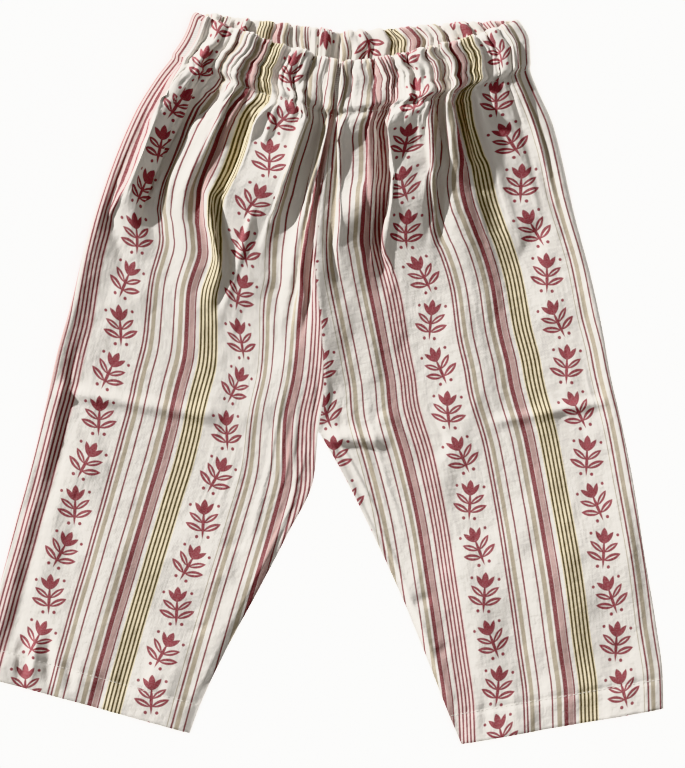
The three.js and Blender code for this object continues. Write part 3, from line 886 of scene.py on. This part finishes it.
def colour(name, description, default):
    """A setting that holds a colour."""
    limits = {"subtype": "COLOR", "size": 3, "min": 0.0, "max": 1.0}
    return bpy.props.FloatVectorProperty(
        name=name, description=description, default=default, **limits
    )


def distance(name, description, default):
    """A setting that holds a length."""
    limits = {"min": 0.0, "unit": "LENGTH", "subtype": "DISTANCE"}
    return bpy.props.FloatProperty(name=name, description=description, default=default, **limits)


def srgb(red, green, blue):
    """A colour as it is seen on a screen, 0 to 255, as scene-linear values."""
    value = np.array([red, green, blue]) / 255.0
    return tuple(np.where(value <= 0.04045, value / 12.92, ((value + 0.055) / 1.055) ** 2.4))


class TrouserColours(bpy.types.PropertyGroup):
    """The cloth's and the trimmings' colours."""

    ground: colour("Ground", "The cotton itself", srgb(233, 228, 221))
    red: colour("Red", "The thin and the wide red stripes", srgb(128, 64, 69))
    pink: colour("Pink", "The stripe beside the wide red one", srgb(186, 154, 149))
    tan: colour("Tan", "The sand-coloured stripes", srgb(177, 165, 145))
    olive: colour("Olive", "The five olive lines", srgb(72, 57, 28))
    straw: colour("Straw", "The ground between the olive lines", srgb(238, 226, 196))
    blush: colour("Blush", "The ground between the five red lines", srgb(232, 216, 210))
    sprig: colour("Sprig", "The printed sprigs", srgb(144, 64, 73))
    thread: colour("Thread", "The sewing thread", srgb(238, 234, 226))
    webbing: colour("Webbing", "The elastic", srgb(240, 239, 234))
    floor: colour("Floor", "The floor under the trousers", srgb(250, 250, 249))


class TrouserSizes(bpy.types.PropertyGroup):
    """Sizes of the sewing and the weave."""

    stitch: distance("Stitch", "Length of one stitch", 0.0021)
    stitch_gap: distance("Stitch gap", "Gap between two stitches", 0.0009)
    thread: distance("Thread", "Width of the sewing thread", 0.00034)
    weave: distance("Weave", "Distance from one yarn to the next", 0.00052)
    camera_height: distance("Camera height", "How high the camera stands over the floor", 1.5)


# ---- Materials -----------------------------------------------------------------------------


def add_node(tree, kind, inputs=None, **settings):
    """A node with its settings, and with its inputs set or linked."""
    made = tree.nodes.new(kind)
    for name, value in settings.items():
        setattr(made, name, value)
    for key, value in (inputs or {}).items():
        if isinstance(value, bpy.types.NodeSocket):
            tree.links.new(value, made.inputs[key])
        else:
            made.inputs[key].default_value = value
    return made


def calc(tree, operation, *values):
    """The result of a sum on sockets or numbers."""
    return add_node(tree, "ShaderNodeMath", dict(enumerate(values)), operation=operation).outputs[0]


def ramp(tree, value, start, end, low=0.0, high=1.0):
    """A clamped, smooth step from low to high."""
    inputs = {"Value": value, "From Min": start, "From Max": end, "To Min": low, "To Max": high}
    kind = "ShaderNodeMapRange"
    return add_node(tree, kind, inputs, interpolation_type="SMOOTHSTEP").outputs["Result"]


def blend(tree, factor, first, second, mode="MIX"):
    """One colour laid over another."""
    inputs = {0: factor, 6: first, 7: second}
    return add_node(tree, "ShaderNodeMix", inputs, data_type="RGBA", blend_type=mode).outputs[2]


def opaque(value):
    """A colour with its alpha."""
    return (*value, 1.0)


def new_material(name):
    """An empty material with one Principled shader."""
    material = bpy.data.materials.new(name)
    material.use_nodes = True
    tree = material.node_tree
    tree.nodes.clear()
    shader = tree.nodes.new("ShaderNodeBsdfPrincipled")
    output = tree.nodes.new("ShaderNodeOutputMaterial")
    tree.links.new(shader.outputs["BSDF"], output.inputs["Surface"])
    return material, tree, shader


# The printed stripes. The pattern repeats over two columns of sprigs, REPEAT apart from one to
# the same one again; a stripe's "place" is its middle's distance from the first column's middle.
REPEAT = 152.6
COLUMN_STEP = REPEAT / 2
INK_EDGE = 0.16  # how softly a printed edge ends
RED_STRIPES = table(
    "place width",
    (14.9, 1.1),
    (17.0, 1.15),
    (24.6, 1.0),
    (32.6, 1.0),
    (41.1, 2.8),
    (46.4, 1.0),
    (92.4, 1.15),
    (99.9, 1.0),
    (108.4, 1.0),
    (116.8, 2.65),
    (121.9, 1.0),
)
TAN_STRIPES = table(
    "place width",
    (20.0, 2.55),
    (36.9, 2.9),
    (95.4, 2.65),
    (112.8, 2.55),
    (89.8, 0.5),
)
PINK_STRIPES = table("place width", (44.2, 3.0), (119.8, 3.0))
LADDER_PITCH = 2.4  # the five lines' pitch and width
LADDER_LINE = 1.15
LADDER_HALF = 2.5 * LADDER_PITCH
OLIVE_LADDER = 55.1
RED_LADDER = 130.5
SPRIG_PITCH = 28.0
SPRIG_TILT = math.radians(13)
SPRIG_EDGE = 0.14


def stripes(tree, place, rows):
    """Where the stripes of one colour lie."""
    total = 0.0
    for middle, width in zip(rows["place"], rows["width"]):
        off = calc(tree, "ABSOLUTE", calc(tree, "SUBTRACT", place, float(middle)))
        mask = ramp(tree, off, width / 2 - INK_EDGE, width / 2 + INK_EDGE, 1.0, 0.0)
        total = calc(tree, "ADD", mask, total)
    return total


def ladder(tree, place, middle):
    """Five thin lines side by side, and the ground that they stand on."""
    off = calc(tree, "ABSOLUTE", calc(tree, "SUBTRACT", place, middle))
    ground = ramp(tree, off, LADDER_HALF - INK_EDGE, LADDER_HALF + INK_EDGE, 1.0, 0.0)
    nearest = calc(tree, "PINGPONG", off, LADDER_PITCH / 2)
    line = ramp(tree, nearest, LADDER_LINE / 2 - INK_EDGE, LADDER_LINE / 2 + INK_EDGE, 1.0, 0.0)
    return ground, calc(tree, "MULTIPLY", line, ground)


def leaf(tree, spot, base, tip, width):
    """A pointed leaf from its base to its tip: where two circles overlap."""
    base, tip = np.array(base, float), np.array(tip, float)
    way = tip - base
    length = float(np.linalg.norm(way))
    middle = (base + tip) / 2
    radius = (length**2 / 4 + width**2 / 4) / width
    turned = add_node(
        tree,
        "ShaderNodeMapping",
        {
            "Vector": spot,
            "Location": (middle[0], middle[1], 0.0),
            "Rotation": (0.0, 0.0, math.atan2(way[1], way[0])),
        },
        vector_type="TEXTURE",
    )
    parts = add_node(tree, "ShaderNodeSeparateXYZ", {0: turned.outputs[0]})
    lift = calc(tree, "ADD", calc(tree, "ABSOLUTE", parts.outputs["Y"]), radius - width / 2)
    joined = add_node(tree, "ShaderNodeCombineXYZ", {"X": parts.outputs["X"], "Y": lift})
    measured = add_node(tree, "ShaderNodeVectorMath", {0: joined.outputs[0]}, operation="LENGTH")
    return ramp(tree, measured.outputs["Value"], radius - SPRIG_EDGE, radius + SPRIG_EDGE, 1.0, 0.0)


def dot(tree, spot, middle, radius):
    """A round dot."""
    inputs = {0: spot, 1: (*middle, 0.0)}
    measured = add_node(tree, "ShaderNodeVectorMath", inputs, operation="DISTANCE")
    return ramp(tree, measured.outputs["Value"], radius - SPRIG_EDGE, radius + SPRIG_EDGE, 1.0, 0.0)


# One sprig in its own frame, upright, mirrored about its stem.
SPRIG_LEAVES = (
    ((0.3, -7.4), (10.6, -2.6), 4.0),
    ((0.3, -2.6), (8.8, 3.8), 3.5),
    ((0.3, 2.6), (5.6, 10.0), 3.0),
    ((0.0, 3.4), (0.0, 12.2), 4.2),
)
SPRIG_VEINS = (
    ((1.8, -6.8), (8.4, -3.7), 0.75),
    ((1.6, -1.6), (7.0, 2.5), 0.7),
)
SPRIG_STEM = ((0.0, -12.4), (0.0, 5.4), 2.0)
SPRIG_DOTS = (((3.4, -11.0), 1.05), ((8.4, 8.4), 0.95))


def sprig(tree, place, down):
    """A column of small sprigs that lean left and right by turns."""
    column = calc(tree, "ROUND", calc(tree, "DIVIDE", place, COLUMN_STEP))
    x = calc(tree, "SUBTRACT", place, calc(tree, "MULTIPLY", column, COLUMN_STEP))
    step = calc(tree, "DIVIDE", down, SPRIG_PITCH)
    step = calc(tree, "ADD", step, calc(tree, "MULTIPLY", column, 0.5))
    cell = calc(tree, "ROUND", step)
    y = calc(tree, "MULTIPLY", calc(tree, "SUBTRACT", cell, step), SPRIG_PITCH)
    odd = calc(tree, "FLOORED_MODULO", cell, 2.0)
    hand = calc(tree, "SUBTRACT", calc(tree, "MULTIPLY", odd, 2.0), 1.0)
    spot = add_node(tree, "ShaderNodeCombineXYZ", {"X": calc(tree, "MULTIPLY", x, hand), "Y": y})
    tilted = add_node(
        tree,
        "ShaderNodeMapping",
        {"Vector": spot.outputs[0], "Rotation": (0.0, 0.0, SPRIG_TILT)},
        vector_type="TEXTURE",
    )
    parts = add_node(tree, "ShaderNodeSeparateXYZ", {0: tilted.outputs[0]})
    mirrored = calc(tree, "ABSOLUTE", parts.outputs["X"])
    half = add_node(tree, "ShaderNodeCombineXYZ", {"X": mirrored, "Y": parts.outputs["Y"]})
    half = half.outputs[0]
    ink = leaf(tree, half, *SPRIG_STEM)
    for shape in SPRIG_LEAVES:
        ink = calc(tree, "MAXIMUM", ink, leaf(tree, half, *shape))
    for middle, radius in SPRIG_DOTS:
        ink = calc(tree, "MAXIMUM", ink, dot(tree, half, middle, radius))
    for shape in SPRIG_VEINS:
        ink = calc(tree, "SUBTRACT", ink, leaf(tree, half, *shape))
    return calc(tree, "MAXIMUM", ink, 0.0)


def cloth_uv(tree):
    """The place on the flat cloth, in millimetres."""
    uv = add_node(tree, "ShaderNodeUVMap", uv_map="Cloth").outputs[0]
    return scaled(tree, uv, 1.0 / MM)


def scaled(tree, vector, scale):
    """A vector times a number."""
    inputs = {0: vector, "Scale": scale}
    return add_node(tree, "ShaderNodeVectorMath", inputs, operation="SCALE").outputs[0]


def weave_height(tree, uv, pitch):
    """Plain weave: yarns that go over and under each other."""
    parts = add_node(tree, "ShaderNodeSeparateXYZ", {0: scaled(tree, uv, math.pi / pitch)})
    warp = calc(tree, "SINE", parts.outputs["X"])
    weft = calc(tree, "SINE", parts.outputs["Y"])
    return calc(tree, "MULTIPLY", warp, weft)


def noise_at(tree, uv, scale, detail=2.0, stretch=(1.0, 1.0, 1.0)):
    """Noise on the cloth, drawn out along one way of it by a small stretch."""
    turned = add_node(tree, "ShaderNodeMapping", {"Vector": uv, "Scale": stretch})
    inputs = {"Vector": turned.outputs[0], "Scale": scale, "Detail": detail}
    return add_node(tree, "ShaderNodeTexNoise", inputs).outputs[0]


def tinted(tree, shader, tint, shade):
    """Gives a shader its colour times a darkening factor: painted shade in the hollows of the
    cotton's weave, the thread's twist and the webbing's ribs, and an uneven grain tone on the
    floor.
    """
    colour_out = blend(tree, 1.0, tint, shade, "MULTIPLY")
    tree.links.new(colour_out, shader.inputs["Base Color"])


def embossed(tree, shader, height, strength, depth):
    """Gives a shader a bump, its depth in metres."""
    inputs = {"Height": height, "Strength": strength, "Distance": depth}
    tree.links.new(add_node(tree, "ShaderNodeBump", inputs).outputs[0], shader.inputs["Normal"])


WORN_GROUND = srgb(214, 208, 196)  # the cotton where its yarn is thick
PRINT_WANDER = 0.28  # how far the printed edges wander
WEAVE_DEPTH = 0.045
RUMPLE_DEPTH = 0.8
YARN_DEPTH = 0.16


def cotton_material(colours, sizes):
    """Cream cotton with printed stripes and sprigs."""
    material, tree, shader = new_material("striped_cotton")
    uv = cloth_uv(tree)
    parts = add_node(tree, "ShaderNodeSeparateXYZ", {0: uv})
    wander = calc(tree, "SUBTRACT", noise_at(tree, uv, 0.9, 2.0, (1.0, 0.35, 1.0)), 0.5)
    across = calc(tree, "ADD", parts.outputs["X"], calc(tree, "MULTIPLY", wander, PRINT_WANDER))
    down = parts.outputs["Y"]
    place = calc(tree, "FLOORED_MODULO", across, REPEAT)

    slub = noise_at(tree, uv, 0.55, 3.0, (1.0, 0.12, 1.0))
    worn = noise_at(tree, uv, 1.3, 4.0)
    slub_shade = ramp(tree, slub, 0.3, 0.7, 0.0, 0.10)
    paper = blend(tree, slub_shade, opaque(colours.ground), opaque(WORN_GROUND))
    straw_ground, olive_lines = ladder(tree, place, OLIVE_LADDER)
    blush_ground, red_lines = ladder(tree, place, RED_LADDER)
    base = blend(tree, straw_ground, paper, opaque(colours.straw))
    base = blend(tree, blush_ground, base, opaque(colours.blush))
    ink = ramp(tree, worn, 0.2, 0.75, 0.84, 1.0)
    layers = (
        (stripes(tree, place, TAN_STRIPES), colours.tan),
        (stripes(tree, place, PINK_STRIPES), colours.pink),
        (stripes(tree, place, RED_STRIPES), colours.red),
        (olive_lines, colours.olive),
        (red_lines, colours.red),
        (sprig(tree, across, down), colours.sprig),
    )
    for mask, tint in layers:
        base = blend(tree, calc(tree, "MULTIPLY", mask, ink), base, opaque(tint))
    weave = weave_height(tree, uv, sizes.weave / MM)
    # Painted shade: the cloth's colour darkens by up to 7% where the weave's height is low, in the
    # hollows between the yarns.
    tinted(tree, shader, base, ramp(tree, weave, -1.0, 1.0, 0.93, 1.0))

    height = calc(tree, "MULTIPLY", weave, WEAVE_DEPTH)
    rumple = noise_at(tree, uv, 0.16, 3.0)
    height = calc(tree, "ADD", height, calc(tree, "MULTIPLY", rumple, RUMPLE_DEPTH))
    for stretch in ((1.0, 0.16, 1.0), (0.16, 1.0, 1.0)):
        yarn = noise_at(tree, uv, 0.75, 2.0, stretch)
        height = calc(tree, "ADD", height, calc(tree, "MULTIPLY", yarn, YARN_DEPTH))
    embossed(tree, shader, height, 0.8, MM)
    tree.links.new(ramp(tree, worn, 0.2, 0.8, 0.82, 0.92), shader.inputs["Roughness"])
    shader.inputs["Specular IOR Level"].default_value = 0.25
    shader.inputs["Sheen Weight"].default_value = 0.08
    shader.inputs["Sheen Roughness"].default_value = 0.5
    return material


def thread_material(colours):
    """Cotton sewing thread, twisted."""
    material, tree, shader = new_material("sewing_thread")
    spot = add_node(tree, "ShaderNodeTexCoord").outputs["Object"]
    inputs = {"Vector": spot, "Scale": 900.0, "Distortion": 2.0, "Detail": 2.0}
    twist = add_node(tree, "ShaderNodeTexWave", inputs, bands_direction="DIAGONAL").outputs[1]
    # Painted shade: the thread darkens by up to 18% in the grooves of its twist, the same wave that
    # gives its bump.
    tinted(tree, shader, opaque(colours.thread), ramp(tree, twist, 0.0, 1.0, 0.82, 1.0))
    embossed(tree, shader, twist, 0.5, 0.1 * MM)
    tree.links.new(ramp(tree, twist, 0.0, 1.0, 0.55, 0.7), shader.inputs["Roughness"])
    shader.inputs["Sheen Weight"].default_value = 0.15
    return material


def webbing_material(colours):
    """White woven elastic with ribs along it."""
    material, tree, shader = new_material("ribbed_webbing")
    spot = add_node(tree, "ShaderNodeTexCoord").outputs["Object"]
    inputs = {"Vector": spot, "Scale": 260.0, "Distortion": 0.4, "Detail": 1.0}
    ribs = add_node(tree, "ShaderNodeTexWave", inputs, bands_direction="Y").outputs[1]
    inputs = {"Vector": spot, "Scale": 1800.0, "Detail": 3.0}
    fuzz = add_node(tree, "ShaderNodeTexNoise", inputs).outputs[0]
    # Painted shade: the webbing darkens by up to 20% between its ribs, the same wave that gives its
    # bump.
    tinted(tree, shader, opaque(colours.webbing), ramp(tree, ribs, 0.0, 1.0, 0.8, 1.0))
    height = calc(tree, "ADD", ribs, calc(tree, "MULTIPLY", fuzz, 0.4))
    embossed(tree, shader, height, 0.6, 0.3 * MM)
    tree.links.new(ramp(tree, fuzz, 0.3, 0.7, 0.7, 0.85), shader.inputs["Roughness"])
    shader.inputs["Sheen Weight"].default_value = 0.1
    return material


def floor_material(colours):
    """A plain pale floor."""
    material, tree, shader = new_material("pale_floor")
    spot = add_node(tree, "ShaderNodeTexCoord").outputs["Object"]
    inputs = {"Vector": spot, "Scale": 40.0, "Detail": 4.0}
    grain = add_node(tree, "ShaderNodeTexNoise", inputs).outputs[0]
    tinted(tree, shader, opaque(colours.floor), ramp(tree, grain, 0.3, 0.7, 0.99, 1.0))
    shader.inputs["Roughness"].default_value = 0.9
    shader.inputs["Specular IOR Level"].default_value = 0.1
    return material


# ---- Pieces --------------------------------------------------------------------------------


def to_frame(points):
    """Points of the tables' plan, in millimetres, as metres in the frame."""
    moved = np.asarray(points, float) + np.array([*FRAME_SHIFT, 0.0])
    return moved * MM


def mesh_object(name, vertices, faces, material):
    """A smooth-shaded mesh in the scene."""
    mesh = bpy.data.meshes.new(name)
    mesh.from_pydata(vertices, [], faces)
    mesh.polygons.foreach_set("use_smooth", [True] * len(mesh.polygons))
    mesh.materials.append(material)
    made = bpy.data.objects.new(name, mesh)
    bpy.context.scene.collection.objects.link(made)
    return made


def make_leg(name, leg, material):
    """One leg's sheet of cloth, with its place on the flat cloth as its UV map."""
    grid, cloth = leg_grid(leg)
    grid = settle(grid, cloth)
    grid = press_creases(leg, grid)
    rows, columns = grid.shape[:2]
    index = np.arange(rows * columns).reshape(rows, columns)
    quads = np.stack([index[:-1, :-1], index[:-1, 1:], index[1:, 1:], index[1:, :-1]], -1)
    if leg["hand"] > 0:
        quads = quads[..., ::-1]
    points = to_frame(grid.reshape(-1, 3))
    made = mesh_object(f"leg_{name}_cloth", points, quads.reshape(-1, 4).tolist(), material)
    uv = made.data.uv_layers.new(name="Cloth")
    loops = np.empty(len(made.data.loops), int)
    made.data.loops.foreach_get("vertex_index", loops)
    uv.data.foreach_set("uv", (cloth.reshape(-1, 2)[loops] * MM).ravel())
    return made


# Along one stitch, how thick the thread is: it dives into the cloth at both ends.
STITCH_SHAPE = ((0.0, 0.15), (0.12, 0.75), (0.5, 1.0), (0.88, 0.75), (1.0, 0.15))
STITCH_SIDES = 6
STITCH_LIFT = 0.12  # how far over the cloth the thread's middle rises


def stitch_row(points, length, normals, sizes, vertices, faces):
    """Short threads laid end to end along a line."""
    stitch, gap, width = sizes.stitch / MM, sizes.stitch_gap / MM, sizes.thread / MM
    turns = np.arange(STITCH_SIDES) * 2.0 * math.pi / STITCH_SIDES
    ring = [(math.cos(a), math.sin(a)) for a in turns]
    start = gap
    while start + stitch < length[-1]:
        spots = []
        for share, swell in STITCH_SHAPE:
            reach = start + stitch * share
            spot = np.array([np.interp(reach, length, points[:, i]) for i in range(3)])
            out = np.array([np.interp(reach, length, normals[:, i]) for i in range(3)])
            out /= np.linalg.norm(out)
            spots.append((spot, out, swell))
        way = spots[-1][0] - spots[0][0]
        way /= np.linalg.norm(way)
        first = len(vertices)
        for spot, out, swell in spots:
            side = np.cross(way, out)
            for c, s in ring:
                lift = out * (STITCH_LIFT * swell + s * width / 2 * swell)
                vertices.append(spot + lift + side * c * width / 2 * swell)
        last = len(vertices) - STITCH_SIDES
        for a in range(first, last):
            turn = 1 - STITCH_SIDES if (a - first) % STITCH_SIDES == STITCH_SIDES - 1 else 1
            b = a + turn
            faces.append((a, b, b + STITCH_SIDES, a + STITCH_SIDES))
        faces.append(tuple(first + j for j in reversed(range(STITCH_SIDES))))
        faces.append(tuple(last + j for j in range(STITCH_SIDES)))
        start += stitch + gap


def make_stitching(name, leg_name, down, material, sizes):
    """One row of stitches round a leg, on the leg's own points."""
    marks = leg_rows()
    nearest = min(outer_rows(), key=lambda i: abs(marks[i][0] - down))
    cloth = bpy.data.objects[f"leg_{leg_name}_cloth"].data
    grid = np.empty(len(cloth.vertices) * 3)
    cloth.vertices.foreach_get("co", grid)
    grid = grid.reshape(len(marks), -1, 3) / MM
    points = grid[nearest]
    normals = np.cross(np.gradient(points, axis=0), grid[nearest + 1] - grid[nearest - 1])
    normals /= np.linalg.norm(normals, axis=1)[:, None]
    if normals[FRONT_COLUMNS // 2, 2] < 0:
        normals = -normals
    length = np.concatenate([[0.0], np.cumsum(np.linalg.norm(np.diff(points, axis=0), axis=1))])
    vertices, faces = [], []
    stitch_row(points, length, normals, sizes, vertices, faces)
    return mesh_object(name, np.array(vertices) * MM, faces, material)


# ---- Stage ---------------------------------------------------------------------------------

VIEW_CENTRE = (13.5, -2.4)  # the middle of the picture, in the tables' plan
VIEW_HEIGHT = 460.8  # the picture's longer side, on the garment
VIEW_LEVEL = 9.0  # the height at which it is measured
SENSOR = 36.0
CLIP_START = 0.05
CLIP_END = 20.0
FLOOR_HALF = 6.0  # half the floor's side, in metres
FLOOR_GAP = 0.0002  # how far the floor lies below the cloth
SUN_WAY = (0.82, -0.57)  # the way that the sunlight travels, in plan
SUN_RISE = math.radians(22.5)
SUN_STRENGTH = 5.8
SUN_ANGLE = math.radians(1.4)
FLOOR_STRENGTH = 8.0
FLOOR_ANGLE = math.radians(60)
SKY_COLOUR = (1.0, 0.975, 0.94, 1.0)
SKY_STRENGTH = 0.32


def make_camera(scene, height):
    """A camera that looks straight down on the garment."""
    data = bpy.data.cameras.new("camera")
    data.sensor_width = SENSOR
    data.lens = SENSOR * (height / MM - VIEW_LEVEL) / VIEW_HEIGHT
    data.clip_start = CLIP_START
    data.clip_end = CLIP_END
    camera = bpy.data.objects.new("camera", data)
    spot = to_frame([*VIEW_CENTRE, 0.0])
    camera.location = (spot[0], spot[1], height)
    scene.collection.objects.link(camera)
    scene.camera = camera


def make_lights(scene, floor):
    """A low key light from the upper left, a soft sky and a light for the floor alone."""
    world = bpy.data.worlds.new("sky")
    world.use_nodes = True
    sky = world.node_tree.nodes["Background"]
    sky.inputs["Color"].default_value = SKY_COLOUR
    sky.inputs["Strength"].default_value = SKY_STRENGTH
    scene.world = world
    scene.view_settings.view_transform = "Khronos PBR Neutral"

    key = sun("key", SUN_STRENGTH, SUN_ANGLE, (*SUN_WAY, -math.tan(SUN_RISE)))
    under = sun("floor_light", FLOOR_STRENGTH, FLOOR_ANGLE, (0.0, 0.0, -1.0))
    garment = bpy.data.collections.new("garment")
    ground = bpy.data.collections.new("ground")
    nothing = bpy.data.collections.new("nothing")
    ground.objects.link(floor)
    under.light_linking.receiver_collection = ground
    under.light_linking.blocker_collection = nothing
    key.light_linking.receiver_collection = garment


def sun(name, strength, angle, way):
    """A sun lamp that shines along a direction."""
    data = bpy.data.lights.new(name, "SUN")
    data.energy = strength
    data.angle = angle
    lamp = bpy.data.objects.new(name, data)
    lamp.rotation_euler = Vector(way).to_track_quat("-Z", "Y").to_euler()
    bpy.context.scene.collection.objects.link(lamp)
    return lamp


# ---- Operators -----------------------------------------------------------------------------


class TROUSERS_OT_stage(bpy.types.Operator):
    """Make the floor, the lights and the camera"""

    bl_idname = "trousers.stage"
    bl_label = "Stage"

    def execute(self, context):
        scene = context.scene
        material = floor_material(scene.trouser_colours)
        floor = mesh_object("floor", square(FLOOR_HALF), [(0, 1, 2, 3)], material)
        floor.location.z = -FLOOR_GAP
        make_camera(scene, scene.trouser_sizes.camera_height)
        make_lights(scene, floor)
        return {"FINISHED"}


class TROUSERS_OT_legs(bpy.types.Operator):
    """Make both legs, each with its casing and its hem"""

    bl_idname = "trousers.legs"
    bl_label = "Legs"

    def execute(self, context):
        scene = context.scene
        material = cotton_material(scene.trouser_colours, scene.trouser_sizes)
        for name, leg in LEGS.items():
            piece = make_leg(name, leg, material)
            bpy.data.collections["garment"].objects.link(piece)
            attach(piece, "root")
            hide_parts(f"leg_{name}", f"casing_{name}", f"hem_{name}")
        return {"FINISHED"}


class TROUSERS_OT_stitching(bpy.types.Operator):
    """Sew the rows of stitches at the casing and the hems"""

    bl_idname = "trousers.stitching"
    bl_label = "Stitching"

    def execute(self, context):
        scene = context.scene
        material = thread_material(scene.trouser_colours)
        rows = (("casing", CASING_DEPTH), ("hem", LEG_LENGTH - HEM_DEPTH))
        for name in LEGS:
            for place, down in rows:
                title = f"{place}_stitches_{name}"
                piece = make_stitching(title, name, down, material, scene.trouser_sizes)
                bpy.data.collections["garment"].objects.link(piece)
                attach(piece, "root")
        return {"FINISHED"}


class TROUSERS_OT_elastic(bpy.types.Operator):
    """Give the elastic in the casing its ribbed webbing"""

    bl_idname = "trousers.elastic"
    bl_label = "Elastic"

    def execute(self, context):
        elastic = bpy.data.objects["elastic"]
        material = webbing_material(context.scene.trouser_colours)
        if not elastic.material_slots:
            elastic.data.materials.append(material)
        for slot in elastic.material_slots:
            slot.material = material
        bpy.data.collections["garment"].objects.link(elastic)
        return {"FINISHED"}


class TROUSERS_PT_panel(bpy.types.Panel):
    """Lists the trousers' pieces, sizes and colours"""

    bl_idname = "TROUSERS_PT_panel"
    bl_label = "Trousers"
    bl_space_type = "VIEW_3D"
    bl_region_type = "UI"
    bl_category = "Trousers"

    def draw(self, context):
        scene = context.scene
        for operator in OPERATORS:
            self.layout.operator(operator.bl_idname)
        for group in (scene.trouser_sizes, scene.trouser_colours):
            box = self.layout.box()
            for name in group.bl_rna.properties.keys():
                if name not in ("rna_type", "name"):
                    box.prop(group, name)


OPERATORS = (TROUSERS_OT_stage, TROUSERS_OT_legs, TROUSERS_OT_stitching, TROUSERS_OT_elastic)
CLASSES = (TrouserColours, TrouserSizes, *OPERATORS, TROUSERS_PT_panel)


def register():
    """Register the classes, and add their settings to the scene."""
    for cls in CLASSES:
        bpy.utils.register_class(cls)
    bpy.types.Scene.trouser_colours = bpy.props.PointerProperty(type=TrouserColours)
    bpy.types.Scene.trouser_sizes = bpy.props.PointerProperty(type=TrouserSizes)


def unregister():
    """Undo what register does."""
    del bpy.types.Scene.trouser_sizes
    del bpy.types.Scene.trouser_colours
    for cls in reversed(CLASSES):
        bpy.utils.unregister_class(cls)


def main():
    """Make every piece."""
    register()
    for operator in OPERATORS:
        group, name = operator.bl_idname.split(".")
        getattr(getattr(bpy.ops, group), name)()


if __name__ == "__main__":
    main()
